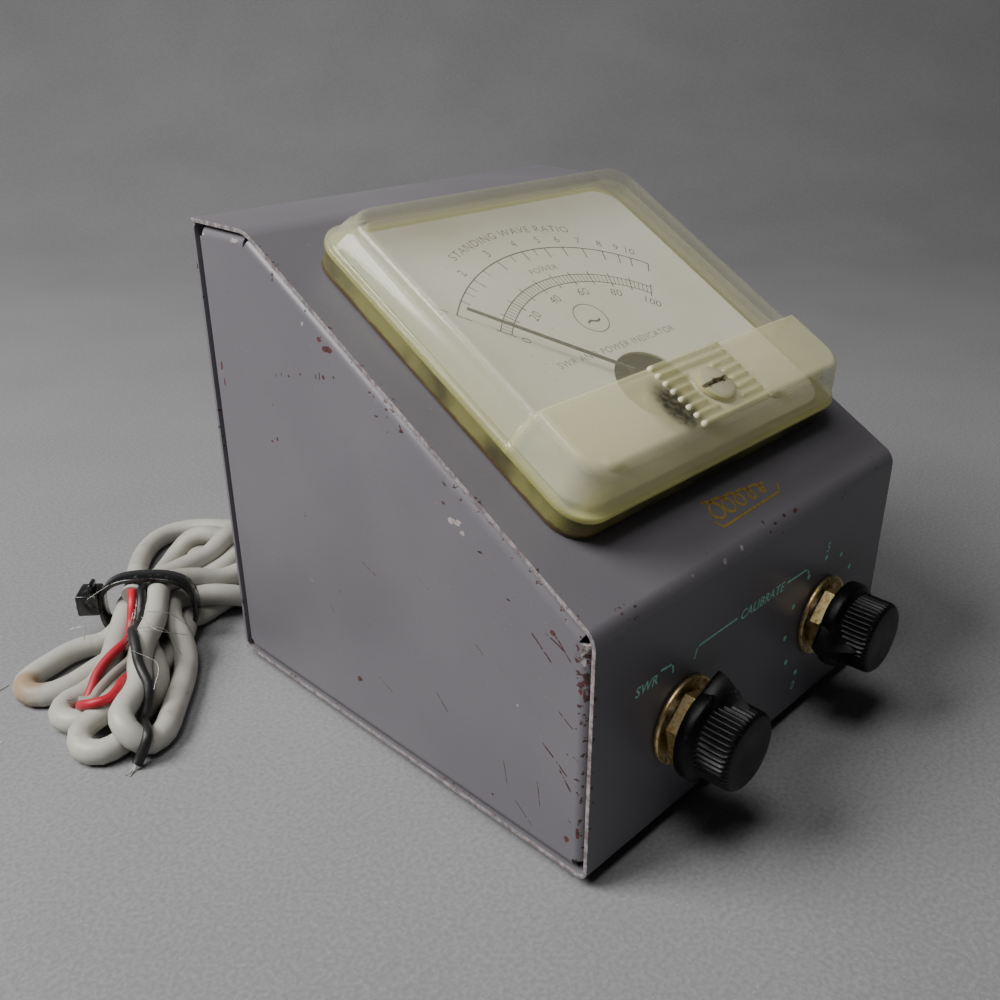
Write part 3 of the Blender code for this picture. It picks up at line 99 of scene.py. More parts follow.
class Finish:
    """One material.  node() adds any node: its settings first, then its sockets' values or links."""

    def __init__(self, name, **constants):
        self.material = bpy.data.materials.new(name)
        self.material.use_nodes = True
        self.tree = self.material.node_tree
        self.shader = self.tree.nodes["Principled BSDF"]
        for socket, value in constants.items():
            self.shader.inputs[socket.replace("_", " ")].default_value = value

    def node(self, kind, settings=None, values=None, output=0):
        made = self.tree.nodes.new("ShaderNode" + kind)
        for setting, value in (settings or {}).items():
            setattr(made, setting, value)
        for socket, value in (values or {}).items():
            if isinstance(value, Level):
                self.tree.links.new(value.socket, made.inputs[socket])
            else:
                made.inputs[socket].default_value = value
        return Level(self, made.outputs[output])

    def place(self, scale=(1.0, 1.0, 1.0)):
        """Object coordinates, stretched or squeezed along each axis."""
        here = self.node("TexCoord", output=3)
        return self.node("VectorMath", {"operation": "MULTIPLY"}, {0: here, 1: scale})

    def axes(self, place=None):
        place = place or self.node("TexCoord", output=3)
        return [self.node("SeparateXYZ", values={0: place}, output=i) for i in range(3)]

    def noise(self, scale, detail=2.0, stretch=(1.0, 1.0, 1.0), twist=0.0):
        return self.node("TexNoise", values={
            "Vector": self.place(stretch), "Scale": scale, "Detail": detail, "Distortion": twist,
        })

    def tint(self, amount, first, second):
        """The first colour, turning to the second as amount goes from 0 to 1."""
        full = [c if isinstance(c, Level) else (*c, 1.0) for c in (first, second)]
        return self.node("Mix", {"data_type": "RGBA"}, {0: amount, 6: full[0], 7: full[1]}, output=2)

    def feed(self, **levels):
        for socket, level in levels.items():
            self.tree.links.new(level.socket, self.shader.inputs[socket.replace("_", " ")])
        return self

    def bump(self, height, depth, strength=1.0):
        """Raises the surface by up to depth metres where height is 1."""
        raised = self.node("Bump", values={"Height": height, "Distance": depth, "Strength": strength})
        return self.feed(Normal=raised)


paper = Finish("backdrop_paper", Roughness=0.75)
paper_grain = paper.noise(1100, 4)
paper_cloud = paper.noise(14, 3)
paper_fleck = paper.noise(1500, 2).rise(0.66, 0.74)
paper.feed(Base_Color=paper.tint(paper_fleck * 0.4, paper.tint(
    (0.75 * paper_grain + 0.25 * paper_cloud).rise(0.30, 0.70), (0.195, 0.195, 0.202), (0.262, 0.262, 0.270),
), (0.42, 0.42, 0.42)))
paper.bump(paper_grain, 0.08 * MM, 0.35)

floor_mesh = bpy.data.meshes.new("floor")
REACH = 1.6
floor_rows = [(-REACH, 0.0), (0.42, 0.0)]
for step in range(1, 13):
    lean = math.pi / 2 * step / 12
    floor_rows.append((0.42 + 0.5 * math.sin(lean), 0.5 - 0.5 * math.cos(lean)))
floor_rows.append((0.92, 2.2))
floor_points = [(x, y, z) for y, z in floor_rows for x in (-REACH, REACH)]
floor_turn = Matrix.Rotation(math.radians(-45), 3, "Z")
floor_mesh.from_pydata(
    [floor_turn @ Vector(p) for p in floor_points], [],
    [(2 * i, 2 * i + 1, 2 * i + 3, 2 * i + 2) for i in range(len(floor_rows) - 1)],
)
floor_mesh.shade_smooth()
floor_mesh.materials.append(paper.material)
floor = bpy.data.objects.new("floor", floor_mesh)
bpy.context.scene.collection.objects.link(floor)


def lamp(name, place, aim, size, watts, colour):
    data = bpy.data.lights.new(name, "AREA")
    data.shape = "DISK"
    data.size = size
    data.energy = watts
    data.color = colour
    made = bpy.data.objects.new(name, data)
    made.location = place
    made.rotation_euler = (Vector(aim) - Vector(place)).to_track_quat("-Z", "Y").to_euler()
    bpy.context.scene.collection.objects.link(made)


lamp("soft_key", (-0.58, 0.34, 0.70), (-0.08, 0.02, 0.0), 0.50, 12.5, (1.0, 0.99, 0.97))
lamp("overhead", (-0.26, -0.08, 0.80), (-0.03, 0.0, 0.0), 0.30, 2.3, (1.0, 0.99, 0.97))
world = bpy.data.worlds.new("room")
world.use_nodes = True
world.node_tree.nodes["Background"].inputs["Color"].default_value = (0.9, 0.93, 1.0, 1.0)
world.node_tree.nodes["Background"].inputs["Strength"].default_value = 0.028
bpy.context.scene.world = world

camera_data = bpy.data.cameras.new("camera")
camera_data.lens = 37.153
camera_data.sensor_width = 36.0
camera = bpy.data.objects.new("camera", camera_data)
camera_right = Vector((0.70089405, -0.71324935, -0.00478592))
camera_up = Vector((0.31189598, 0.30044499, 0.90136214))
camera_back = Vector((-0.64145805, -0.63325207, 0.4330397))
camera.rotation_euler = Matrix((camera_right, camera_up, camera_back)).transposed().to_euler()
camera.location = Vector((-157.229, -131.587, 142.259)) * MM
bpy.context.scene.collection.objects.link(camera)
bpy.context.scene.camera = camera

# ---------------------------------------------------------------- the folded front, slope and top
# One sheet of 0.8 mm steel folded round the bottom, front, slope and top, with round holes punched
# for the controls and the meter.  It has grey enamel over red primer, worn off at the cut edges.
SHEET = 0.8
BEND = 2.2
FRONT_HEIGHT = 50.9
TOP_DEPTH = 19.0
case_low, case_high = [np.array(corner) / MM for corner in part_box("case_wrap")]
half_width = float(case_high[0])
front_y, rear_y = float(case_low[1]), float(case_high[1])
bottom_z, top_z = float(case_low[2]), float(case_high[2])
fold_z = bottom_z + FRONT_HEIGHT
SLOPE = math.atan2(top_z - fold_z, rear_y - TOP_DEPTH - front_y)
UP_SLOPE = Vector((0.0, math.cos(SLOPE), math.sin(SLOPE)))
OFF_SLOPE = Vector((0.0, -math.sin(SLOPE), math.cos(SLOPE)))
FOLD = Vector((0.0, front_y, fold_z))


def on_slope(x, up, off):
    return (FOLD + Vector((x, 0.0, 0.0)) + UP_SLOPE * up + OFF_SLOPE * off) * MM


def on_front(x, height, off):
    """A place on the front panel; the height is above the cabinet's bottom."""
    return Vector((x, front_y - off, bottom_z + height)) * MM


def new_piece(name, vertices, faces):
    """An object from vertices already in place, in metres."""
    mesh = bpy.data.meshes.new(name)
    mesh.from_pydata([tuple(v) for v in vertices], [], faces)
    made = bpy.data.objects.new(name, mesh)
    bpy.context.scene.collection.objects.link(made)
    return made


def settle_modifiers(made, smooth=35, level=False):
    """Turns the evaluated object into its plain mesh, smoothly shaded up to the given angle.

    With level, wide flats keep their own direction right up to the bends beside them.
    """
    for last in (False, True):
        if made.modifiers:
            graph = bpy.context.evaluated_depsgraph_get()
            mesh = bpy.data.meshes.new_from_object(made.evaluated_get(graph))
            made.modifiers.clear()
            made.data = mesh
        if last:
            break
        made.data.shade_smooth()
        made.data.set_sharp_from_angle(angle=math.radians(smooth))
        if level:
            modify(made, "WEIGHTED_NORMAL", keep_sharp=True, weight=100)
    return made


def modify(made, kind, **settings):
    modifier = made.modifiers.new(kind.lower(), kind)
    for setting, value in settings.items():
        setattr(modifier, setting, value)
    return modifier


def ease_edges(made, width, segments=2, angle=50):
    """Takes the sharpness off every edge, as filing or moulding does."""
    modify(
        made, "BEVEL", width=width * MM, segments=segments, limit_method="ANGLE",
        angle_limit=math.radians(angle), use_clamp_overlap=True,
    )


def bore(made, start, end, radius, sides=64):
    """Cuts a round hole between two places given in metres."""
    shape = bmesh.new()
    along = end - start
    turn = along.to_track_quat("Z", "Y").to_matrix().to_4x4()
    bmesh.ops.create_cone(
        shape, cap_ends=True, segments=sides, radius1=radius * MM, radius2=radius * MM, depth=along.length,
        matrix=Matrix.Translation((start + end) / 2) @ turn,
    )
    mesh = bpy.data.meshes.new("punch")
    shape.to_mesh(mesh)
    shape.free()
    punch = bpy.data.objects.new("punch", mesh)
    bpy.context.scene.collection.objects.link(punch)
    modify(made, "BOOLEAN", operation="DIFFERENCE", solver="EXACT", object=punch)
    graph = bpy.context.evaluated_depsgraph_get()
    made.data = bpy.data.meshes.new_from_object(made.evaluated_get(graph))
    made.modifiers.clear()
    bpy.data.objects.remove(punch)


def folded_sheet(name, vertices, faces):
    """A sheet with its folds rounded, thickened inwards."""
    made = new_piece(name, [Vector(v) * MM for v in vertices], faces)
    modify(
        made, "BEVEL", width=BEND * MM, segments=8, limit_method="ANGLE", angle_limit=math.radians(15),
        use_clamp_overlap=False,
    )
    modify(made, "SOLIDIFY", thickness=SHEET * MM, offset=-1.0, use_even_offset=True)
    return settle_modifiers(made)


def enamel(name):
    """Grey enamel: its finish with soft clouds, brushed dust, specks and a slight orange peel."""
    made = Finish(name, Specular_IOR_Level=0.45)
    made.x, made.y, made.z = made.axes(made.place((1000.0, 1000.0, 1000.0)))
    made.fine = made.noise(700, 6)
    made.coarse = made.noise(95, 5)
    return made


def spot(finish, centre, size, plane="yz"):
    """1 inside an irregular patch about a centre on one plane, in millimetres."""
    first, second = [{"x": finish.x, "y": finish.y, "z": finish.z}[axis] for axis in plane]
    across = (first - centre[0]) * (1 / size[0])
    along = (second - centre[1]) * (1 / size[1])
    ragged = 3.6 * (finish.fine - 0.5) + 2.6 * (finish.coarse - 0.5)
    return (across * across + along * along + ragged).rise(0.62, 0.42)


def scratch(finish, start, end, width, plane="yz"):
    """1 along a thin ragged line between two places on one plane."""
    first, second = [{"x": finish.x, "y": finish.y, "z": finish.z}[axis] for axis in plane]
    run = math.hypot(end[0] - start[0], end[1] - start[1])
    dx, dy = (end[0] - start[0]) / run, (end[1] - start[1]) / run
    u, v = first - start[0], second - start[1]
    along = u * dx + v * dy
    beside = abs(v * dx - u * dy + 1.2 * (finish.coarse - 0.5))
    within = abs(along - run / 2).rise(run / 2, run / 2 - 0.5)
    broken = finish.fine.rise(0.40, 0.50)
    return beside.rise(width, width * 0.5) * within * broken


def finish_enamel(finish, primer, bare):
    """Mixes primer and bare metal into the grey, and lowers the surface where it has gone."""
    cloud = finish.noise(26, 4)
    specks = finish.noise(2100, 2).rise(0.70, 0.76)
    grey = finish.tint(cloud.rise(0.3, 0.7), (0.150, 0.141, 0.158), (0.172, 0.163, 0.180))
    dusty = finish.tint(specks * 0.35, grey, (0.42, 0.38, 0.40))
    red = finish.tint(finish.fine.rise(0.35, 0.65), (0.105, 0.034, 0.032), (0.045, 0.020, 0.021))
    worn = finish.tint(primer, dusty, red)
    white = finish.tint(finish.fine.rise(0.4, 0.6), (0.42, 0.37, 0.36), (0.22, 0.18, 0.18))
    finish.feed(Base_Color=finish.tint(bare, worn, white))
    finish.feed(Roughness=0.33 + 0.10 * cloud + 0.30 * primer.upper(bare))
    finish.bump(finish.noise(420, 3) * 0.35 - 1.0 * primer.upper(bare), 0.05 * MM, 0.5)
    return finish


corner_yz = [
    (rear_y, bottom_z), (front_y, bottom_z), (front_y, fold_z), (rear_y - TOP_DEPTH, top_z), (rear_y, top_z),
]
wrap = folded_sheet(
    "folded_cover_sheet", [(x, y, z) for y, z in corner_yz for x in (-half_width, half_width)],
    [(2 * i, 2 * i + 1, 2 * i + 3, 2 * i + 2) for i in range(4)],
)
KNOB_X, KNOB_HEIGHT = 25.0, 22.0
for side in (-1, 1):
    bore(wrap, on_front(side * KNOB_X, KNOB_HEIGHT, 1), on_front(side * KNOB_X, KNOB_HEIGHT, -3), 5.0)
CAN_CENTRE = 47.9
bore(wrap, on_slope(0, CAN_CENTRE, 1), on_slope(0, CAN_CENTRE, -3), 29.1, 96)
METER_CENTRE = 53.8
for side in (-1, 1):
    for up in (-1, 1):
        x, s = side * (42.6 - 6.1), METER_CENTRE + up * (38.4 - 6.1)
        bore(wrap, on_slope(x, s, 1), on_slope(x, s, -3), 1.8, 32)
ease_edges(wrap, 0.14)
settle_modifiers(wrap, 30, level=True)

wrap_paint = enamel("cover_enamel")
cut_edge = abs(wrap_paint.x).rise(half_width - 0.22, half_width - 0.08)
beside_edge = abs(wrap_paint.x).rise(half_width - 2.2, half_width)
from_fold = ((wrap_paint.y - front_y) * (wrap_paint.y - front_y)
             + (wrap_paint.z - fold_z) * (wrap_paint.z - fold_z))
wrap_grain = wrap_paint.noise(1050, 7)
wrap_mix = 0.5 * wrap_grain + 0.3 * wrap_paint.fine + 0.2 * wrap_paint.coarse
fold_nick = from_fold.rise(14.0, 2.0) * wrap_mix.rise(0.615, 0.635)
edge_nick = (wrap_mix + 0.045 * beside_edge).rise(0.622, 0.64)
red = (fold_nick + edge_nick * beside_edge).lower(1.0)
for centre, size in [
    ((3.3, 53.4), (0.7, 0.35)), ((6.9, 53.6), (0.6, 0.4)), ((10.6, 53.5), (0.7, 0.3)),
    ((1.0, 52.6), (0.4, 0.3)),
]:
    red = red.upper(spot(wrap_paint, centre, size, "xz"))
pale = 0.75 * cut_edge * wrap_mix.rise(0.38, 0.50)
for centre, size in [((-14.5, 52.7), (0.8, 0.8)), ((-8.6, 52.9), (0.4, 0.5)), ((-23.8, 53.2), (0.4, 0.3))]:
    pale = pale.upper(spot(wrap_paint, centre, size, "xz"))
finish_enamel(wrap_paint, red.upper(cut_edge * wrap_paint.fine.rise(0.57, 0.62)), pale)
wrap.data.materials.clear()
wrap.data.materials.append(wrap_paint.material)
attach(wrap, "cabinet")
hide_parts("case_wrap")

# ---------------------------------------------------------------- the two side panels
# Flat steel sides with five flanges folded in under the cover sheet and a notch at each corner.
# The left one is chipped to its red primer down the front edge, along the slope and at the bottom.
REAR_SCREW_X, REAR_SCREW_Z = half_width - 4.8, (bottom_z + 12.0, top_z - 12.0)


def side_outline():
    """The side view's corners moved in by the cover sheet's thickness and a small gap."""
    inset = SHEET + 0.3
    moved = []
    for i, corner in enumerate(corner_yz):
        here = Vector(corner)
        back = (Vector(corner_yz[i - 1]) - here).normalized()
        on = (Vector(corner_yz[(i + 1) % 5]) - here).normalized()
        moved.append(here + (back + on).normalized() * inset / math.sin(back.angle(on) / 2))
    return moved


def side_panel(name, side):
    """Its flat face, five rounded bends and their flanges, from one outline."""
    corners = side_outline()
    reliefs = []
    for i, corner in enumerate(corners):
        opening = (corners[i - 1] - corner).angle(corners[(i + 1) % 5] - corner)
        reliefs.append(BEND / math.tan(opening / 2) + 0.15)
    rows = [
        (BEND * (1 - math.sin(a)), half_width - BEND * (1 - math.cos(a)))
        for a in np.linspace(0, math.pi / 2, 10)
    ] + [(0.0, half_width - 8.0)]
    vertices, faces, rim = [], [], []
    for i, corner in enumerate(corners):
        following = corners[(i + 1) % 5]
        along = (following - corner).normalized()
        inward = Vector((along.y, -along.x))
        first = len(vertices)
        for inside, across in rows:
            for end in (corner + along * reliefs[i], following - along * reliefs[(i + 1) % 5]):
                vertices.append((side * across, *(end + inward * inside)))
        rim += [first, first + 1]
        faces += [(k + 1, k, k + 2, k + 3) for k in range(first, first + 2 * len(rows) - 2, 2)]
    middle = sum(corners, Vector((0.0, 0.0))) / 5
    faces += [(len(vertices), rim[k], rim[(k + 1) % 10]) for k in range(10)]
    vertices.append((side * half_width, *middle))
    if side > 0:
        faces = [tuple(reversed(f)) for f in faces]
    panel = new_piece(name, [Vector(v) * MM for v in vertices], faces)
    modify(panel, "SOLIDIFY", thickness=SHEET * MM, offset=-1.0, use_even_offset=True)
    settle_modifiers(panel)
    for z in REAR_SCREW_Z:
        x = side * REAR_SCREW_X
        bore(panel, Vector((x, rear_y + 1, z)) * MM, Vector((x, rear_y - 6, z)) * MM, 1.55, 32)
    ease_edges(panel, 0.1)
    return settle_modifiers(panel, 30, level=True)


def side_distances(finish):
    """How far each place on a side is from its front, bottom, rear, top and slope edges."""
    below = (finish.z - fold_z) * -math.cos(SLOPE) + (finish.y - front_y) * math.sin(SLOPE)
    return (
        finish.y - front_y, finish.z - bottom_z, rear_y - finish.y, top_z - finish.z, below,
    )


def side_wear(finish, amount):
    """Primer showing in nicks, thickest at the front edge and thinner along the other edges."""
    front, bottom, rear, top, slope = side_distances(finish)
    near_front = front.rise(6.0, 1.8) * (0.30 + 0.70 * abs(finish.z - 46.0).rise(13.0, 2.0))
    near_rest = bottom.rise(2.6, 1.0).upper(rear.rise(2.8, 1.2)).upper(slope.rise(4.4, 1.6))
    grain = finish.noise(1050, 7, (1.0, 0.7, 1.0))
    mix = 0.5 * grain + 0.3 * finish.fine + 0.2 * finish.coarse
    nicks = (mix + 0.105 * near_front * amount).rise(0.610, 0.632) * near_front.rise(0.0, 0.2)
    nicks = nicks.upper((mix + 0.044 * near_rest * amount).rise(0.622, 0.640) * near_rest.rise(0.05, 0.4))
    strewn = finish.noise(420, 6).rise(0.745, 0.76)
    pale = (mix + 0.10 * bottom.rise(2.0, 0.9)).rise(0.62, 0.66) * bottom.rise(2.2, 1.2)
    # along the slope's bend the pale patches are partly worn paint and partly a painted highlight
    pale = pale.upper((mix + 0.08 * slope.rise(2.2, 1.2)).rise(0.63, 0.66) * slope.rise(2.6, 1.4))
    return nicks.upper(strewn), pale


left_panel = side_panel("left_side", -1)
left_paint = enamel("left_side_enamel")
left_red, left_pale = side_wear(left_paint, 1.0)
for centre, size in [
    ((14.6, 14.9), (1.5, 0.9)), ((15.6, 14.2), (0.8, 0.8)), ((34.9, 77.2), (0.25, 0.9)),
    ((33.0, 77.7), (0.2, 0.7)), ((30.5, 77.9), (0.5, 0.35)), ((26.6, 79.2), (0.5, 0.3)),
    ((21.5, 80.0), (0.25, 0.8)), ((20.4, 80.2), (0.25, 1.0)), ((19.2, 80.3), (0.5, 0.5)),
    ((16.0, 81.0), (0.3, 0.3)), ((17.3, 86.0), (1.6, 0.6)), ((19.5, 87.4), (0.9, 0.5)),
    ((55.0, 74.0), (0.4, 1.6)), ((54.6, 71.0), (0.3, 1.0)), ((4.5, 76.6), (1.1, 0.4)),
    ((1.2, 74.4), (0.8, 0.4)), ((36.8, 63.0), (0.4, 0.5)), ((38.7, 62.0), (0.5, 0.3)),
    ((-12.6, 65.3), (1.1, 0.5)), ((-21.5, 59.0), (0.9, 0.35)), ((-28.3, 52.5), (0.6, 0.4)),
    ((-30.4, 46.2), (0.5, 0.3)), ((-43.6, 48.6), (1.0, 2.6)), ((-44.6, 43.0), (0.8, 1.8)),
    ((-44.9, 36.0), (0.5, 1.2)), ((-42.5, 9.3), (0.7, 0.9)), ((-44.9, 12.0), (0.5, 1.6)),
    ((-38.5, 50.5), (0.7, 0.7)), ((-24.2, 8.2), (0.4, 0.3)), ((-30.5, 13.2), (0.35, 0.3)),
]:
    left_red = left_red.upper(spot(left_paint, centre, size))
for start, end, width in [
    ((-33.5, 48.5), (-38.5, 44.5), 0.22), ((-36.0, 50.0), (-41.0, 48.0), 0.2),
    ((-38.0, 51.0), (-42.5, 46.5), 0.22), ((-36.5, 27.5), (-42.5, 23.0), 0.22),
    ((-40.5, 23.8), (-43.3, 20.2), 0.3), ((11.5, 44.5), (7.0, 43.0), 0.12),
    ((-5.0, 47.6), (-8.5, 46.0), 0.1), ((-9.0, 24.0), (-12.4, 20.8), 0.14), ((8.5, 19.0), (4.0, 16.8), 0.1),
    ((-40.0, 36.0), (-43.5, 33.6), 0.16), ((-29.8, 10.5), (-34.5, 7.0), 0.12),
    ((-27.0, 18.0), (-28.0, 12.5), 0.12), ((-20.0, 40.0), (-22.6, 38.4), 0.1),
    ((-35.3, 18.2), (-36.2, 12.6), 0.12), ((24.0, 30.4), (22.0, 28.0), 0.1),
]:
    left_red = left_red.upper(scratch(left_paint, start, end, width))
for centre, size in [
    ((29.0, 33.2), (0.7, 0.45)), ((26.9, 36.5), (0.3, 0.3)), ((-15.6, 62.6), (1.9, 0.7)),
    ((-17.4, 61.1), (0.9, 0.5)), ((-44.8, 49.4), (0.7, 2.8)), ((-45.6, 51.0), (0.9, 0.6)),
    ((-30.5, 32.0), (0.3, 0.25)), ((56.6, 101.5), (1.3, 0.4)), ((45.0, 101.7), (2.2, 0.4)),
    ((24.5, 89.4), (0.4, 0.4)),
]:
    left_pale = left_pale.upper(spot(left_paint, centre, size))
finish_enamel(left_paint, left_red, left_pale)
left_panel.data.materials.clear()
left_panel.data.materials.append(left_paint.material)
right_panel = side_panel("right_side", 1)
right_paint = enamel("right_side_enamel")
finish_enamel(right_paint, *side_wear(right_paint, 0.8))
right_panel.data.materials.clear()
right_panel.data.materials.append(right_paint.material)
for panel, node in ((left_panel, "side_panel_left"), (right_panel, "side_panel_right")):
    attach(panel, "cabinet")
    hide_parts(node)

# ---------------------------------------------------------------- the rear panel, screws and feet
# A plain enamelled plate held by four self-tapping screws, with a rubber grommet for the cord, and
# four round rubber feet under the bottom.


def refined(node, name, edge=0.15, segments=2, smooth=35):
    """A finished copy of a node's solid: its flats joined up and its sharp edges eased."""
    shape = bmesh.new()
    shape.from_mesh(nodes[node].data)
    bmesh.ops.remove_doubles(shape, verts=shape.verts, dist=0.001 * MM)
    bmesh.ops.dissolve_limit(
        shape, angle_limit=math.radians(0.5), verts=shape.verts, edges=shape.edges, delimit={"SHARP"},
    )
    mesh = bpy.data.meshes.new(name)
    shape.to_mesh(mesh)
    shape.free()
    made = bpy.data.objects.new(name, mesh)
    bpy.context.scene.collection.objects.link(made)
    if edge:
        ease_edges(made, edge, segments, 40)
    return settle_modifiers(made, smooth, level=True)


def finish_piece(made, finish, body, slot, *replaced):
    made.data.materials.clear()
    made.data.materials.append(finish.material)
    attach(made, body)
    if replaced:
        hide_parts(*replaced)


rear_paint = enamel("rear_enamel")
rear_rim = abs(rear_paint.x).rise(half_width - 5, half_width - 1)
rear_nicks = (0.6 * rear_paint.fine + 0.4 * rear_paint.coarse + 0.07 * rear_rim).rise(0.665, 0.69)
round_screws = rear_paint.x * 0.0
for x in (-REAR_SCREW_X, REAR_SCREW_X):
    for z in REAR_SCREW_Z:
        round_screws = round_screws.upper(spot(rear_paint, (x, z), (3.3, 3.3), "xz"))
finish_enamel(rear_paint, rear_nicks.upper(round_screws * rear_paint.fine.rise(0.45, 0.6)), rear_nicks * 0.0)
finish_piece(refined("rear_panel", "rear_plate"), rear_paint, "cabinet", "case_paint", "rear_panel")

zinc = Finish("zinc_plate", Metallic=1.0, Roughness=0.38)
zinc_stain = zinc.noise(900, 5)
zinc.feed(
    Base_Color=zinc.tint(zinc_stain.rise(0.45, 0.7), (0.52, 0.51, 0.49), (0.19, 0.13, 0.09)),
    Roughness=0.30 + 0.35 * zinc_stain,
)
zinc.bump(zinc.noise(3000, 2), 0.02 * MM, 0.4)
for number in range(1, 5):
    finish_piece(
        refined(f"rear_screw_{number}", f"self_tapping_screw_{number}", 0.2, 3), zinc, "cabinet",
        "screw_steel", f"rear_screw_{number}",
    )
rubber = Finish("black_rubber", Roughness=0.85)
rubber_bloom = rubber.noise(260, 5)
rubber.feed(
    Base_Color=rubber.tint(rubber_bloom.rise(0.45, 0.75), (0.016, 0.016, 0.016), (0.06, 0.058, 0.054))
)
rubber.bump(rubber.noise(1400, 3), 0.05 * MM, 0.6)
for place in ("front_left", "front_right", "rear_left", "rear_right"):
    finish_piece(
        refined(f"foot_{place}", f"rubber_foot_{place}", 0.5, 4), rubber, "cabinet", "rubber",
        f"foot_{place}",
    )
finish_piece(refined("cable_grommet", "rubber_grommet", 0.4, 4), rubber, "cabinet", "rubber", "cable_grommet")

# ---------------------------------------------------------------- the meter's base and fixings
# A shallow tray of clear moulded plastic, yellowed with age, held through the slope by four studs,
# with the round can of the movement below it.  It is painted darker and browner along its foot.


def on_slope_axes(finish):
    """Sets the finish's coordinates in millimetres: across, up the slope and off it."""
    x, y, z = finish.axes(finish.place((1000.0, 1000.0, 1000.0)))
    finish.x = x
    finish.up = (y - FOLD.y) * UP_SLOPE.y + (z - FOLD.z) * UP_SLOPE.z
    finish.off = (y - FOLD.y) * OFF_SLOPE.y + (z - FOLD.z) * OFF_SLOPE.z
    return finish


amber = on_slope_axes(Finish("yellowed_base_plastic", Roughness=0.14, IOR=1.49))
amber_cloud = amber.noise(70, 3)
# darker, browner and more opaque towards the foot, where the tray meets the slope
darker_at_foot = (amber.off.rise(2.4, 0.3) + 0.8 * (amber.noise(320, 5) - 0.5)).rise(0.45, 0.9)
olive = amber.tint(amber_cloud.rise(0.35, 0.65), (0.34, 0.33, 0.12), (0.10, 0.095, 0.05))
rim_light = amber.off.rise(4.0, 4.6)
olive = amber.tint(rim_light, olive, (0.62, 0.60, 0.34))
amber.feed(
    Base_Color=amber.tint(darker_at_foot, olive, (0.085, 0.055, 0.020)),
    Alpha=(0.62 + 0.25 * rim_light + 0.3 * darker_at_foot).lower(1.0), Roughness=0.12 + 0.35 * darker_at_foot,
)
finish_piece(
    refined("meter_base", "meter_tray", 0.35, 3), amber, "cabinet", "yellowed_clear_plastic", "meter_base",
)

soft_iron = Finish("soft_iron", Metallic=1.0, Roughness=0.45)
iron_grain = soft_iron.noise(1500, 4, (1.0, 1.0, 0.2))
soft_iron.feed(
    Base_Color=soft_iron.tint(iron_grain, (0.20, 0.20, 0.205), (0.36, 0.35, 0.34)),
    Roughness=0.36 + 0.22 * iron_grain,
)
soft_iron.bump(iron_grain, 0.03 * MM, 0.5)
magnet = Finish("magnet_steel", Metallic=1.0, Roughness=0.5)
magnet_pits = magnet.noise(700, 6)
magnet.feed(
    Base_Color=magnet.tint(magnet_pits.rise(0.35, 0.7), (0.22, 0.22, 0.23), (0.10, 0.095, 0.09)),
    Roughness=0.42 + 0.3 * magnet_pits,
)
magnet.bump(magnet_pits, 0.08 * MM, 0.5)
brass = Finish("nickelled_brass", Metallic=1.0, Roughness=0.3)
brass_wear = brass.noise(850, 6)
brass.feed(
    Base_Color=brass.tint(brass_wear.rise(0.46, 0.66), (0.74, 0.60, 0.32), (0.46, 0.30, 0.11)),
    Roughness=0.22 + 0.38 * brass_wear,
)
brass.bump(brass.noise(1800, 4), 0.05 * MM, 0.5)
copper = Finish("enamelled_copper", Metallic=1.0, Roughness=0.35)
copper_turns = copper.noise(2600, 2, (0.2, 1.0, 1.0))
copper.feed(
    Base_Color=copper.tint(copper_turns, (0.50, 0.17, 0.07), (0.62, 0.27, 0.12)),
    Roughness=0.3 + 0.2 * copper_turns,
)
copper.bump(copper_turns, 0.06 * MM, 0.6)
for number in range(1, 5):
    finish_piece(
        refined(f"meter_nut_{number}", f"fixing_nut_{number}", 0.15, 3), zinc, "cabinet", "screw_steel",
        f"meter_nut_{number}",
    )
can_plastic = Finish("moulded_can", Roughness=0.3)
can_flow = can_plastic.noise(60, 4)
can_plastic.feed(
    Base_Color=can_plastic.tint(can_flow.rise(0.35, 0.7), (0.014, 0.014, 0.016), (0.032, 0.030, 0.029)),
    Roughness=0.24 + 0.25 * can_flow,
)
can_plastic.bump(can_plastic.noise(900, 3), 0.04 * MM, 0.4)
finish_piece(refined("meter_can", "movement_can", 0.3, 3), can_plastic, "cabinet", "bakelite", "meter_can")
for side in ("left", "right"):
    finish_piece(
        refined(f"terminal_stud_{side}", f"terminal_{side}", 0.2, 3), brass, "cabinet", "nickelled_brass",
        f"terminal_stud_{side}",
    )
    finish_piece(
        refined(f"terminal_nut_{side}", f"terminal_hexagon_{side}", 0.15, 3), brass, "cabinet",
        "nickelled_brass", f"terminal_nut_{side}",
    )

# ---------------------------------------------------------------- the dial and its scales
# A white painted plate with two printed scales swept about the pointer's pivot: the standing wave
# ratio on the outer arc and the power on the inner pair.  Two white screws hold it on its posts.
PIVOT = 34.1
DIAL_TOP = 5.4
SWEEP = 43.8

dial_white = on_slope_axes(Finish("dial_white", Roughness=0.55))
dial_age = dial_white.noise(40, 4)
dial_dust = dial_white.noise(1500, 3).rise(0.66, 0.74)
aged_white = dial_white.tint(dial_age.rise(0.3, 0.75), (0.80, 0.79, 0.68), (0.73, 0.71, 0.57))
dial_white.feed(
    Base_Color=dial_white.tint(0.4 * dial_dust, aged_white, (0.45, 0.42, 0.34)),
    Roughness=0.5 + 0.15 * dial_age,
)
dial_white.bump(dial_white.noise(1200, 3), 0.03 * MM, 0.35)
dial = refined("dial_plate", "dial", 0.1, 2)
finish_piece(dial, dial_white, "cabinet", "dial_white", "dial_plate")
for side in ("left", "right"):
    finish_piece(
        refined(f"dial_screw_{side}", f"dial_fixing_{side}", 0.12, 3), dial_white, "cabinet", "dial_white",
        f"dial_screw_{side}",
    )


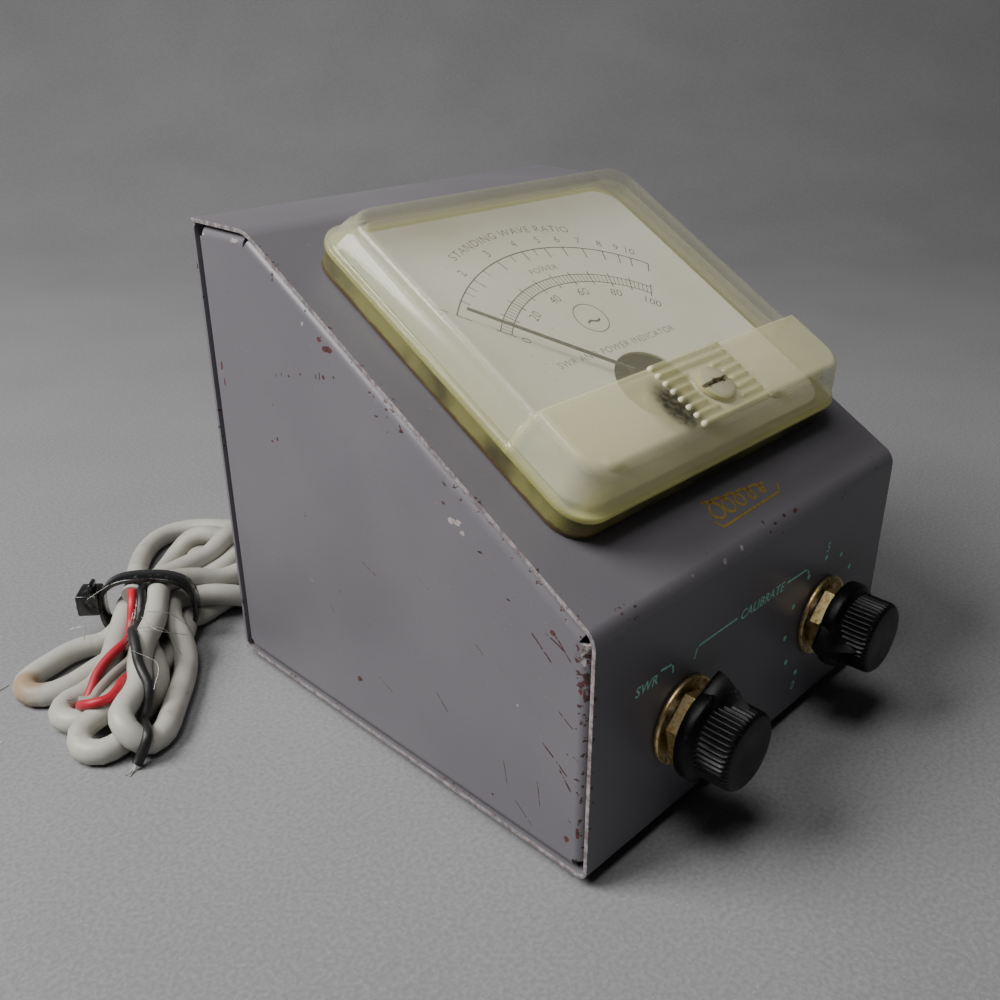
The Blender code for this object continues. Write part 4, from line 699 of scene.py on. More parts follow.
class Pattern:
    """A Geometry Nodes recipe that repeats one motif, with named sizes as its inputs."""

    kinds = {"Motif": "NodeSocketObject", "Count": "NodeSocketInt", "Finish": "NodeSocketMaterial"}

    def __init__(self, name, *inputs):
        self.tree = bpy.data.node_groups.new(name, "GeometryNodeTree")
        self.sockets = {
            label: self.tree.interface.new_socket(
                label, in_out="INPUT", socket_type=self.kinds.get(label, "NodeSocketFloat"))
            for label in inputs
        }
        self.tree.interface.new_socket("Geometry", in_out="OUTPUT", socket_type="NodeSocketGeometry")
        self.given = self.tree.nodes.new("NodeGroupInput")

    def size(self, label):
        return self.given.outputs[label]

    def node(self, kind, settings=None, values=None, output=0):
        made = self.tree.nodes.new(kind)
        for setting, value in (settings or {}).items():
            setattr(made, setting, value)
        for socket, value in (values or {}).items():
            if isinstance(value, bpy.types.NodeSocket):
                self.tree.links.new(value, made.inputs[socket])
            else:
                made.inputs[socket].default_value = value
        return made.outputs[output]

    def math(self, operation, *values):
        return self.node("ShaderNodeMath", {"operation": operation}, dict(enumerate(values)))

    def close(self, geometry):
        """Realizes the copies, gives them the finish and ends the recipe."""
        whole = self.node("GeometryNodeRealizeInstances", values={0: geometry})
        done = self.node("GeometryNodeSetMaterial", values={0: whole, "Material": self.size("Finish")})
        self.tree.links.new(done, self.tree.nodes.new("NodeGroupOutput").inputs[0])
        return self

    def make(self, name, place, **values):
        """A piece made by the recipe; place maps its points, in millimetres, to where they belong."""
        made = new_piece(name, [], [])
        modifier = made.modifiers.new("pattern", "NODES")
        modifier.node_group = self.tree
        for label, value in values.items():
            modifier[self.sockets[label].identifier] = value
        graph = bpy.context.evaluated_depsgraph_get()
        made.data = bpy.data.meshes.new_from_object(made.evaluated_get(graph))
        made.modifiers.clear()
        for vertex in made.data.vertices:
            vertex.co = place(*vertex.co)
        return made


fan = Pattern("fan_of_marks", "Motif", "Count", "First angle", "Step angle", "Radius", "Finish")
mark = fan.node("GeometryNodeInputIndex")
angle = fan.math("ADD", fan.size("First angle"), fan.math("MULTIPLY", mark, fan.size("Step angle")))
across = fan.math("MULTIPLY", fan.math("SINE", angle), fan.size("Radius"))
along = fan.math("MULTIPLY", fan.math("COSINE", angle), fan.size("Radius"))
spread = fan.node("GeometryNodePoints", values={
    "Count": fan.size("Count"), "Position": fan.node("ShaderNodeCombineXYZ", values={0: across, 1: along}),
})
motif = fan.node("GeometryNodeObjectInfo", values={"Object": fan.size("Motif")}, output=4)
turn = fan.node("ShaderNodeCombineXYZ", values={2: fan.math("MULTIPLY", angle, -1.0)})
fan.close(
    fan.node("GeometryNodeInstanceOnPoints", values={"Points": spread, "Instance": motif, "Rotation": turn})
)


def outline_motif(name, points):
    """A flat shape in millimetres, to be repeated."""
    return new_piece(name, [(*p, 0.0) for p in points], [tuple(range(len(points)))])


def bar(width, start, end):
    return [(-width / 2, start), (width / 2, start), (width / 2, end), (-width / 2, end)]


def joined(name, pieces):
    """One object from several, all already in place."""
    shape = bmesh.new()
    for piece in pieces:
        shape.from_mesh(piece.data)
        bpy.data.objects.remove(piece)
    mesh = bpy.data.meshes.new(name)
    shape.to_mesh(mesh)
    shape.free()
    made = bpy.data.objects.new(name, mesh)
    bpy.context.scene.collection.objects.link(made)
    return made


def lettering(words, size, place, slant=0.0, thin=0.012, tracking=1.0, centred=True):
    """Flat lettering whose points, in millimetres, are put where place says."""
    curve = bpy.data.curves.new("letters", "FONT")
    curve.body = words
    curve.size = size
    curve.offset = -thin * size
    curve.resolution_u = 3
    curve.space_character = tracking
    if centred:
        curve.align_x = "CENTER"
    made = bpy.data.objects.new("letters", curve)
    bpy.context.scene.collection.objects.link(made)
    graph = bpy.context.evaluated_depsgraph_get()
    mesh = bpy.data.meshes.new_from_object(made.evaluated_get(graph))
    bpy.data.objects.remove(made)
    for vertex in mesh.vertices:
        vertex.co = place(vertex.co.x + slant * vertex.co.y, vertex.co.y)
    flat = bpy.data.objects.new("letters", mesh)
    bpy.context.scene.collection.objects.link(flat)
    return flat


def on_dial(x, y, lift=0.02):
    """A place on the dial, x and y in millimetres from the pivot."""
    return on_slope(x, PIVOT + y, DIAL_TOP + lift)


def on_dial_flat(x, y, z):
    return on_dial(x, y)


def swept(degrees, radius):
    return radius * math.sin(math.radians(degrees)), radius * math.cos(math.radians(degrees))


def arc_strip(radius, width, low=-SWEEP, high=SWEEP, steps=72):
    points = [
        on_dial(*swept(low + (high - low) * i / steps, r))
        for i in range(steps + 1) for r in (radius - width / 2, radius + width / 2)
    ]
    return new_piece("arc", points, [(2 * i, 2 * i + 1, 2 * i + 3, 2 * i + 2) for i in range(steps)])


def bent_lettering(words, size, radius, degrees, tracking=1.0):
    """Words bent round the pivot with their feet on a circle."""
    def place(x, y):
        return on_dial(*swept(degrees + math.degrees(x / radius), radius + y))
    return lettering(words, size, place, 0.0, 0.014, tracking)


def upright_number(words, size, radius, degrees):
    """A number square to its radius."""
    cx, cy = swept(degrees, radius)
    a = math.radians(degrees)

    def place(x, y):
        y -= 0.36 * size
        return on_dial(cx + x * math.cos(a) + y * math.sin(a), cy - x * math.sin(a) + y * math.cos(a))
    return lettering(words, size, place)


dial_ink = Finish("dial_ink", Roughness=0.6)
ink_fade = dial_ink.noise(1300, 3)
dial_ink.feed(
    Base_Color=dial_ink.tint(ink_fade.rise(0.35, 0.7), (0.060, 0.058, 0.052), (0.17, 0.165, 0.14)),
    Roughness=0.5 + 0.2 * ink_fade,
)
printing = [arc_strip(42.2, 0.30), arc_strip(33.5, 0.22), arc_strip(31.2, 0.22)]
tick = {
    "small": outline_motif("small_tick", bar(0.16, 31.2, 33.5)),
    "ten": outline_motif("ten_tick", bar(0.24, 30.2, 34.4)),
    "ratio": outline_motif("ratio_tick", bar(0.26, 39.2, 42.2)),
    "part": outline_motif("part_tick", bar(0.2, 40.2, 42.2)),
}
for name, count in (("small", 51), ("ten", 11)):
    printing.append(
        fan.make(
            "power_marks", on_dial_flat, Motif=tick[name], Count=count, Finish=dial_ink.material,
            **{
                "First angle": math.radians(-SWEEP), "Step angle": math.radians(2 * SWEEP / (count - 1)),
                "Radius": 0.0,
            },
        )
    )
RATIO_MARKS = {
    "1": -43.7, "2": -26.1, "3": -12.6, "4": -1.5, "5": 7.4, "6": 14.2, "7": 21.3, "8": 28.2, "9": 33.6,
    "10": 37.8, "∞": 43.7,
}
for name, angles in (
    ("ratio", list(RATIO_MARKS.values())), ("part", [-37.2, -32.9, -30.0, -20.1, -6.7, 3.1]),
):
    for degrees in angles:
        printing.append(fan.make(
            "ratio_mark", on_dial_flat, Motif=tick[name], Count=1, Finish=dial_ink.material,
            **{"First angle": math.radians(degrees), "Step angle": 0.0, "Radius": 0.0},
        ))
for words, degrees in RATIO_MARKS.items():
    if words != "∞":
        printing.append(upright_number(words, 2.9, 44.9, degrees))
for value in range(0, 101, 20):
    printing.append(upright_number(str(value), 3.0, 28.3, -SWEEP + 2 * SWEEP * value / 100))
printing.append(bent_lettering("STANDING WAVE RATIO", 2.9, 47.4, -1.5, 1.12))
printing.append(bent_lettering("POWER", 2.2, 35.6, 0.0, 1.1))
printing.append(
    lettering("SWR AND POWER INDICATOR", 2.35, lambda x, y: on_dial(x, 11.7 + y), 0.0, 0.014, 1.12)
)
printing.append(
    new_piece(
        "ring",
        [
            on_dial(r * math.cos(a), 21.0 + r * math.sin(a))
            for a in np.linspace(0, 2 * math.pi, 48, endpoint=False)
            for r in (3.9, 4.1)
        ],
        [(2 * i, 2 * i + 1, (2 * i + 3) % 96, (2 * i + 2) % 96) for i in range(48)],
    )
)
printing.append(lettering("~", 7.0, lambda x, y: on_dial(x, 18.2 + y), 0.0, 0.0))
for motif in tick.values():
    bpy.data.objects.remove(motif)
print_piece = joined("dial_print", printing)
finish_piece(print_piece, dial_ink, "cabinet", None)

# ---------------------------------------------------------------- the movement and the pointer
# A moving coil between a soft iron ring and a round magnet, on brass bridges with two hairsprings,
# and a thin grey pointer that lies over the scales.
for node, finish, slot in [
    ("yoke_ring", soft_iron, "soft_iron"), ("core_magnet", magnet, "magnet_steel"),
    ("core_bar", brass, "nickelled_brass"), ("upper_bridge", brass, "nickelled_brass"),
    ("lower_bridge", brass, "nickelled_brass"), ("jewel_screw_upper", brass, "nickelled_brass"),
    ("jewel_screw_lower", brass, "nickelled_brass"), ("upper_spring", brass, "nickelled_brass"),
    ("lower_spring", brass, "nickelled_brass"),
]:
    finish_piece(refined(node, f"{node}_piece", 0.12, 2), finish, "cabinet", slot, node)
finish_piece(
    refined("moving_coil", "coil_winding", 0.2, 3), copper, "pointer_and_coil", "coil_copper",
    "moving_coil",
)
pointer_grey = Finish("pointer_paint", Roughness=0.45)
pointer_chips = pointer_grey.noise(900, 4)
pointer_grey.feed(
    Base_Color=pointer_grey.tint(pointer_chips.rise(0.4, 0.7), (0.055, 0.055, 0.052), (0.12, 0.12, 0.11)),
    Roughness=0.4 + 0.2 * pointer_chips,
)
pointer_blade = refined("pointer", "pointer_blade", 0.06, 2)
places = [v.co / MM for v in pointer_blade.data.vertices]
flat_places = [
    (p.x, (p.y - front_y) * math.cos(SLOPE) + (p.z - fold_z) * math.sin(SLOPE) - PIVOT) for p in places
]
tip_x, tip_s = max(flat_places, key=lambda place: math.hypot(*place))
reach = math.hypot(tip_x, tip_s)
aim_x, aim_s = tip_x / reach, tip_s / reach
for vertex, (x, s) in zip(pointer_blade.data.vertices, flat_places):
    out, aside = x * aim_x + s * aim_s, x * aim_s - s * aim_x
    if out > 6.0:
        shift = -aside * (0.25 + 0.40 * out / reach)
        vertex.co += Vector((aim_s, -aim_x * math.cos(SLOPE), -aim_x * math.sin(SLOPE))) * shift * MM
finish_piece(pointer_blade, pointer_grey, "pointer_and_coil", "pointer_grey", "pointer")
finish_piece(
    refined("zero_arm", "zero_lever_arm", 0.1, 2), brass, "zero_lever", "nickelled_brass", "zero_arm",
)

# ---------------------------------------------------------------- the moulded cover
# A clear plastic cover yellowed with age: a rim, slanted walls, a window, and a raised band in
# front that is frosted inside.  Its outer and inner skins meet at the foot.
COVER_STEPS = 14
BAND_END = 34.4
COVER = {"half": 43.5, "low": 15.0, "high": 92.6, "radius": 7.0}


def cover_rise(s):
    """1 on the raised band and 0 on the window, with a short step between them."""
    t = min(1.0, max(0.0, (BAND_END + 0.55 - s) / 1.1))
    return t * t * (3 - 2 * t)


def ring_of(inset, height, shrink, band_height):
    """Half the cover's outline, front to rear, then the other half back, at one level."""
    half, low, high = (COVER["half"] - inset, COVER["low"] + inset, COVER["high"] - inset)
    radius = max(1.0, COVER["radius"] - shrink)
    chain = [
        (half - radius + radius * math.sin(a), low + radius - radius * math.cos(a))
        for a in np.linspace(0, math.pi / 2, COVER_STEPS)
    ]
    chain += [(half, s) for s in (low + radius + 2.5, BAND_END - 2.0)]
    chain += [(half, BAND_END + d) for d in (-1.2, -0.9, -0.6, -0.35, -0.12, 0.12, 0.35, 0.6, 0.9, 1.2)]
    chain += [(half, s) for s in np.linspace(BAND_END + 3, high - radius - 1, 12)]
    chain += [
        (half - radius + radius * math.cos(a), high - radius + radius * math.sin(a))
        for a in np.linspace(0, math.pi / 2, COVER_STEPS)
    ]
    out = []
    for x, s in chain:
        lift = height + (band_height - height) * cover_rise(s)
        wide = 0.9 * cover_rise(s) * min(1.0, inset / 3.9)
        out.append((x + wide, s, lift))
    return [(-x, s, n) for x, s, n in out] + [(x, s, n) for x, s, n in reversed(out)]


def skin_levels(wall):
    """Levels of one skin from its foot to its top: inset, height, corner shrink, band height."""
    top, band = 12.9 - wall, 14.2 - wall
    brow = 2.3 if not wall else 1.2
    slant = 3.9
    levels = []
    if wall:
        levels += [(wall, 4.8, wall * 0.7, 4.8)]
    else:
        levels += [
            (0.25, 4.8, 0.25, 4.8), (0.05, 4.95, 0.05, 4.95), (0.0, 5.2, 0.0, 5.2), (0.0, 5.7, 0.0, 5.7),
            (0.08, 6.0, 0.1, 6.0), (0.3, 6.2, 0.3, 6.2), (0.7, 6.35, 0.5, 6.4),
        ]
    levels += [
        (wall + 1.0, 6.8, wall * 0.7 + 0.5, 6.9),
        (wall + 2.2, (6.8 + top) / 2, wall * 0.7 + 0.8, (6.9 + band) / 2),
    ]
    for a in np.linspace(0, math.pi / 2, 8):
        levels.append(
            (
                wall + slant - 0.9 + brow * (1 - math.cos(a)), top - brow * (1 - math.sin(a)),
                wall * 0.7 + 1.0 + brow * (1 - math.cos(a)) * 0.8, band - brow * (1 - math.sin(a)),
            )
        )
    return levels


outer = [ring_of(*level) for level in skin_levels(0.0)]
inner = [ring_of(*level) for level in skin_levels(2.0)]
count = len(outer[0])
half_count = count // 2
rings = inner[::-1] + outer
vertices = [on_slope(*p) for ring in rings for p in ring]
faces = []
for r in range(len(rings) - 1):
    base = r * count
    faces += [
        (base + i, base + (i + 1) % count, base + count + (i + 1) % count, base + count + i)
        for i in range(count)
    ]
for base, flip in ((0, True), ((len(rings) - 1) * count, False)):
    for i in range(half_count - 1):
        face = (base + i, base + i + 1, base + count - 2 - i, base + count - 1 - i)
        faces.append(face[::-1] if flip else face)
cover = new_piece("meter_cover_moulding", vertices, faces)
shape = bmesh.new()
shape.from_mesh(cover.data)
bmesh.ops.recalc_face_normals(shape, faces=shape.faces)
shape.to_mesh(cover.data)
shape.free()
cover.data.shade_smooth()
cover.data.set_sharp_from_angle(angle=math.radians(60))
zones = cover.data.color_attributes.new("zones", "FLOAT_COLOR", "POINT")
levels_in, levels_out = skin_levels(2.0)[::-1], skin_levels(0.0)
for index, ring in enumerate(rings):
    inside = index < len(inner)
    level = (levels_in + levels_out)[index]
    climb = min(1.0, max(0.0, (level[1] - 4.8) / (12.9 - 4.8)))
    top_share = min(1.0, max(0.0, (level[0] - (2.0 if inside else 0.0) - 3.0) / 1.6))
    for i, (x, s, n) in enumerate(ring):
        band_share = cover_rise(s)
        zones.data[index * count + i].color = (top_share, band_share, climb, 1.0 if inside else 0.0)

clear = on_slope_axes(Finish("yellowed_cover_plastic", Roughness=0.08, IOR=1.49, Specular_IOR_Level=0.6))
zone_colour = clear.node("Attribute", {"attribute_name": "zones"})
on_top, on_band, climb = [clear.node("SeparateColor", values={0: zone_colour}, output=i) for i in range(3)]
haze = clear.noise(45, 4)
specks = clear.noise(1600, 3).rise(0.68, 0.74)
# painted light and shade on the walls: lighter on the left where the lamp falls, darker and clearer to the
# right, and painted brighter and more opaque on the front wall that lies in shadow
painted_shade_to_right = clear.x.rise(-36.0, 36.0)
painted_light_on_front = clear.up.rise(20.0, 17.0)
wall_tint = clear.tint(painted_shade_to_right, (0.60, 0.60, 0.42), (0.34, 0.34, 0.18))
wall_tint = clear.tint(painted_light_on_front, wall_tint, (0.90, 0.86, 0.42))
wall_tint = clear.tint(climb.rise(0.24, 0.0), wall_tint, (0.46, 0.44, 0.11))
top_tint = clear.tint(on_band, (0.70, 0.69, 0.50), (0.72, 0.70, 0.42))
# painted shade: a soft dark blot on the band, left of the pivot, that darkens the plastic and makes it more
# opaque
blot_across, blot_up = (clear.x + 12.6) * (1 / 5.6), (clear.up - 24.6) * (1 / 9.0)
painted_shade_blot = (blot_across * blot_across + blot_up * blot_up).rise(1.0, 0.05) * on_top * on_band
painted_shade_blot = painted_shade_blot * (0.72 + 0.5 * clear.noise(900, 3))
top_tint = clear.tint(painted_shade_blot.lower(1.0), top_tint, (0.055, 0.052, 0.035))
frost = on_band * on_top * (0.34 + 0.16 * haze)
wall_alpha = 0.32 + 0.20 * haze - 0.12 * painted_shade_to_right + 0.30 * painted_light_on_front
window_alpha = 0.05 + 0.08 * haze
top_alpha = window_alpha + 1.2 * frost
whole_alpha = wall_alpha * (1 - on_top) + on_top * top_alpha + 0.20 * specks + 0.75 * painted_shade_blot
step_line = abs(clear.up - BAND_END).rise(0.8, 0.2) * (1 - 0.5 * haze)
clear.feed(
    Base_Color=clear.tint(step_line * 0.6, clear.tint(on_top, wall_tint, top_tint), (0.50, 0.46, 0.14)),
    Alpha=(whole_alpha + 0.25 * step_line).lower(1.0),
    Roughness=0.06 + 0.10 * haze + 0.25 * frost,
)
clear.bump(clear.noise(300, 3), 0.02 * MM, 0.35)
ZERO_S = PIVOT - 8.5
ribs = Pattern("row_of_ribs", "Motif", "Count", "First", "Step", "Finish")
rib_line = ribs.node(
    "ShaderNodeCombineXYZ",
    values={
        1: ribs.math(
            "ADD", ribs.size("First"),
            ribs.math("MULTIPLY", ribs.node("GeometryNodeInputIndex"), ribs.size("Step")),
        )
    },
)
rib_spots = ribs.node("GeometryNodePoints", values={"Count": ribs.size("Count"), "Position": rib_line})
rib_motif = ribs.node("GeometryNodeObjectInfo", values={"Object": ribs.size("Motif")}, output=4)
ribs.close(ribs.node("GeometryNodeInstanceOnPoints", values={"Points": rib_spots, "Instance": rib_motif}))


def rib_solid(name, start, end, radius, height, ball=6):
    """A round-topped rib between two x positions with rounded ends, on the band's top."""
    vertices, faces = [], []
    stations = [
        (start + radius * (1 - math.cos(a)), math.sin(a)) for a in np.linspace(0.15, math.pi / 2, ball)
    ]
    stations += [
        (end - radius * (1 - math.cos(a)), math.sin(a)) for a in np.linspace(math.pi / 2, 0.15, ball)
    ]
    sides = 10
    for x, share in stations:
        for a in np.linspace(0, math.pi, sides):
            vertices.append((x, -radius * share * math.cos(a), 14.0 + (height - 14.0) * share * math.sin(a)))
    for r in range(len(stations) - 1):
        faces += [
            (r * sides + i, r * sides + i + 1, (r + 1) * sides + i + 1, (r + 1) * sides + i)
            for i in range(sides - 1)
        ]
    faces += [tuple(range(sides))[::-1], tuple(range(len(vertices) - sides, len(vertices)))]
    return new_piece(name, vertices, faces)


FIRST_RIB, RIB_STEP, WELL = 19.4, 2.05, 5.3
rib_pieces = []
for index in range(8):
    s = FIRST_RIB + RIB_STEP * index
    reach = WELL**2 - (s - ZERO_S) ** 2
    spans = [(-11.1, 11.1)] if reach <= 0 else [(-11.1, -math.sqrt(reach)), (math.sqrt(reach), 11.1)]
    for start, end in spans:
        motif = rib_solid("rib", start, end, 0.72, 14.95)
        rib_pieces.append(ribs.make(
            "rib_row", on_slope, Motif=motif, Count=1, First=s, Step=RIB_STEP, Finish=clear.material,
        ))
        bpy.data.objects.remove(motif)
rib_plastic = on_slope_axes(Finish("rib_plastic", Roughness=0.12, IOR=1.49))
# painted highlight: both ends of each rib are painted lighter and more opaque
rib_end_highlight = abs(rib_plastic.x).rise(9.6, 10.9)
rib_cloud = rib_plastic.noise(500, 3)
rib_plastic.feed(
    Base_Color=rib_plastic.tint(rib_end_highlight, (0.62, 0.60, 0.30), (0.86, 0.84, 0.56)),
    Alpha=0.30 + 0.30 * rib_end_highlight + 0.2 * rib_cloud, Roughness=0.10 + 0.12 * rib_cloud,
)
rib_piece = joined("cover_ribs", rib_pieces)
rib_piece.data.shade_smooth()
rib_piece.data.set_sharp_from_angle(angle=math.radians(60))
finish_piece(rib_piece, rib_plastic, "cabinet", None)
finish_piece(cover, clear, "cabinet", "yellowed_clear_plastic", "meter_cover")

# ---------------------------------------------------------------- the zero screw
# A cream plastic screw in the cover's front band that turns to set the pointer's rest.  Old dirt
# fills its slot.
zero_plastic = on_slope_axes(Finish("zero_screw_plastic", Roughness=0.3, IOR=1.49))
from_middle = zero_plastic.x * zero_plastic.x + (zero_plastic.up - ZERO_S) * (zero_plastic.up - ZERO_S)
from_centre = from_middle.math("SQRT", from_middle)
zero_ragged = zero_plastic.noise(900, 4) - 0.5
slot_dirt = (abs(zero_plastic.up - ZERO_S) + 2.0 * zero_ragged).rise(0.8, 0.25) * (
    from_centre + 6 * zero_ragged
).rise(3.4, 2.2)
rim_amber = (from_centre + 1.5 * zero_ragged).rise(3.3, 4.0)
zero_colour = zero_plastic.tint(rim_amber * 0.8, (0.62, 0.60, 0.42), (0.46, 0.42, 0.20))
zero_plastic.feed(
    Base_Color=zero_plastic.tint(slot_dirt, zero_colour, (0.10, 0.055, 0.02)),
    Roughness=0.25 + 0.4 * slot_dirt, Alpha=(0.55 + 0.4 * slot_dirt + 0.2 * rim_amber).lower(1.0),
)
finish_piece(
    refined("zero_screw", "zero_adjusting_screw", 0.2, 3), zero_plastic, "zero_adjuster",
    "yellowed_clear_plastic", "zero_screw",
)

# ---------------------------------------------------------------- the panel's printing
# Thin green screen-printed lettering, a ring of dots round the level control, and lines that lead
# from the words to the function control's two places.
green_ink = Finish("panel_ink", Roughness=0.5)
ink_break = green_ink.noise(1500, 4)
green_ink.feed(
    Base_Color=green_ink.tint(ink_break.rise(0.45, 0.75), (0.36, 0.86, 0.68), (0.22, 0.54, 0.42)),
    Roughness=0.45 + 0.2 * ink_break,
)


def panel_line(points, width):
    """A printed line of one width along a route on the front panel."""
    vertices, faces = [], []
    for (x0, z0), (x1, z1) in zip(points, points[1:]):
        run = math.hypot(x1 - x0, z1 - z0)
        ax, az = -(z1 - z0) / run * width / 2, (x1 - x0) / run * width / 2
        ex, ez = (x1 - x0) / run * width / 2, (z1 - z0) / run * width / 2
        base = len(vertices)
        vertices += [
            on_front(x0 + ax - ex, z0 + az - ez, 0.03), on_front(x0 - ax - ex, z0 - az - ez, 0.03),
            on_front(x1 - ax + ex, z1 - az + ez, 0.03), on_front(x1 + ax + ex, z1 + az + ez, 0.03),
        ]
        faces.append((base, base + 1, base + 2, base + 3))
    return new_piece("line", vertices, faces)


def panel_words(words, size, x, height, slant=0.22):
    return lettering(words, size, lambda u, v: on_front(x + u, height + v, 0.035), slant, -0.018, 1.08)


dot_motif = outline_motif(
    "dot",
    [
        (0.62 * math.cos(a), 13.6 + 0.62 * math.sin(a))
        for a in np.linspace(0, 2 * math.pi, 20, endpoint=False)
    ],
)
panel_print = [
    panel_words("SWR", 2.9, -36.6, 33.9), panel_words("CALIBRATE", 2.9, 0.2, 34.9),
    panel_words("0", 2.9, 17.4, 6.2), panel_words("5", 2.9, 25.2, 37.0),
    panel_line([(-32.3, 36.1), (-29.0, 35.8), (-28.8, 34.0)], 0.5),
    panel_line([(-22.2, 33.7), (-21.5, 35.8), (-8.9, 35.9)], 0.5),
    panel_line([(9.6, 36.1), (17.3, 36.0), (17.9, 34.8)], 0.5),
    fan.make(
        "dots", lambda x, y, z: on_front(KNOB_X + x, KNOB_HEIGHT + y, 0.03), Motif=dot_motif, Count=11,
        Finish=green_ink.material,
        **{"First angle": math.radians(-150), "Step angle": math.radians(30), "Radius": 0.0},
    ),
]
bpy.data.objects.remove(dot_motif)
finish_piece(joined("panel_printing", panel_print), green_ink, "cabinet", None)

# ---------------------------------------------------------------- the gold ornament
# A plain gold flourish over a ruled line, transferred on to the slope below the meter.
gold = Finish("gold_transfer", Metallic=0.25, Roughness=0.45)
gold_break = gold.noise(1300, 5)
gold.feed(
    Base_Color=gold.tint(gold_break.rise(0.45, 0.7), (0.42, 0.29, 0.065), (0.27, 0.185, 0.055)),
    Roughness=0.35 + 0.25 * gold_break,
)


def slope_line(points, widths):
    vertices, faces = [], []
    points = np.array(points)
    tangents = np.gradient(points, axis=0)
    for (x, s), (tx, ts), width in zip(points, tangents, widths):
        run = math.hypot(tx, ts) or 1.0
        ax, az = -ts / run * width / 2, tx / run * width / 2
        vertices += [on_slope(x + ax, s + az, 0.03), on_slope(x - ax, s - az, 0.03)]
    faces = [(2 * i, 2 * i + 1, 2 * i + 3, 2 * i + 2) for i in range(len(points) - 1)]
    return new_piece("flourish", vertices, faces)


scroll = []
for t in np.linspace(0, 1, 160):
    turn = 5.0 * 2 * math.pi * t
    size = 2.5 - 1.4 * t
    scroll.append(
        (-9.0 + 18.5 * t + 1.1 * size * math.sin(turn), 9.2 - 0.8 * t + 0.9 * size * math.cos(turn))
    )
scroll_widths = [0.40 + 0.34 * abs(math.sin(5.0 * 2 * math.pi * t + 0.7)) for t in np.linspace(0, 1, 160)]
rule = [(-9.8, 7.2), (-8.9, 5.4), (11.2, 6.0), (12.4, 7.6)]
finish_piece(
    joined(
        "gold_flourish",
        [
            slope_line(scroll, scroll_widths),
            *[slope_line([start, end], [0.5, 0.5]) for start, end in zip(rule, rule[1:])],
        ],
    ),
    gold, "cabinet", None,
)

# ---------------------------------------------------------------- the two controls
# A rotary switch and a potentiometer behind the panel, each held by a dished brass washer and a
# hexagon nut, with a fluted black bakelite knob that has a pointed skirt and a set screw.
phenolic = Finish("phenolic_sheet", Roughness=0.5)
weave = phenolic.noise(1200, 3, (1.0, 1.0, 0.2))
phenolic.feed(
    Base_Color=phenolic.tint(weave, (0.23, 0.11, 0.045), (0.14, 0.065, 0.03)), Roughness=0.4 + 0.2 * weave,
)
phenolic.bump(weave, 0.04 * MM, 0.5)


def turned_on_front(name, centre_x, profile, steps=72):
    """A turned ring whose profile is (radius, distance off the panel), closed on itself."""
    vertices = [
        on_front(centre_x + r * math.cos(a), KNOB_HEIGHT + r * math.sin(a), off)
        for r, off in profile for a in np.linspace(0, 2 * math.pi, steps, endpoint=False)
    ]
    rows = len(profile)
    faces = [
        (
            row * steps + i, row * steps + (i + 1) % steps, (row + 1) % rows * steps + (i + 1) % steps,
            (row + 1) % rows * steps + i,
        )
        for row in range(rows)
        for i in range(steps)
    ]
    made = new_piece(name, vertices, faces)
    shape = bmesh.new()
    shape.from_mesh(made.data)
    bmesh.ops.recalc_face_normals(shape, faces=shape.faces)
    shape.to_mesh(made.data)
    shape.free()
    return settle_modifiers(made, 40)


bakelite = Finish("black_bakelite", Specular_IOR_Level=0.20)
bakelite_smear = bakelite.noise(120, 5)
bakelite_dust = bakelite.noise(1700, 4).rise(0.60, 0.72)
bakelite.feed(
    Base_Color=bakelite.tint(0.6 * bakelite_dust, (0.003, 0.003, 0.0035), (0.032, 0.031, 0.030)),
    Roughness=0.30 + 0.16 * bakelite_smear.rise(0.35, 0.7) + 0.2 * bakelite_dust,
)
bakelite.bump(bakelite.noise(500, 3), 0.02 * MM, 0.4)
FLUTES = 44


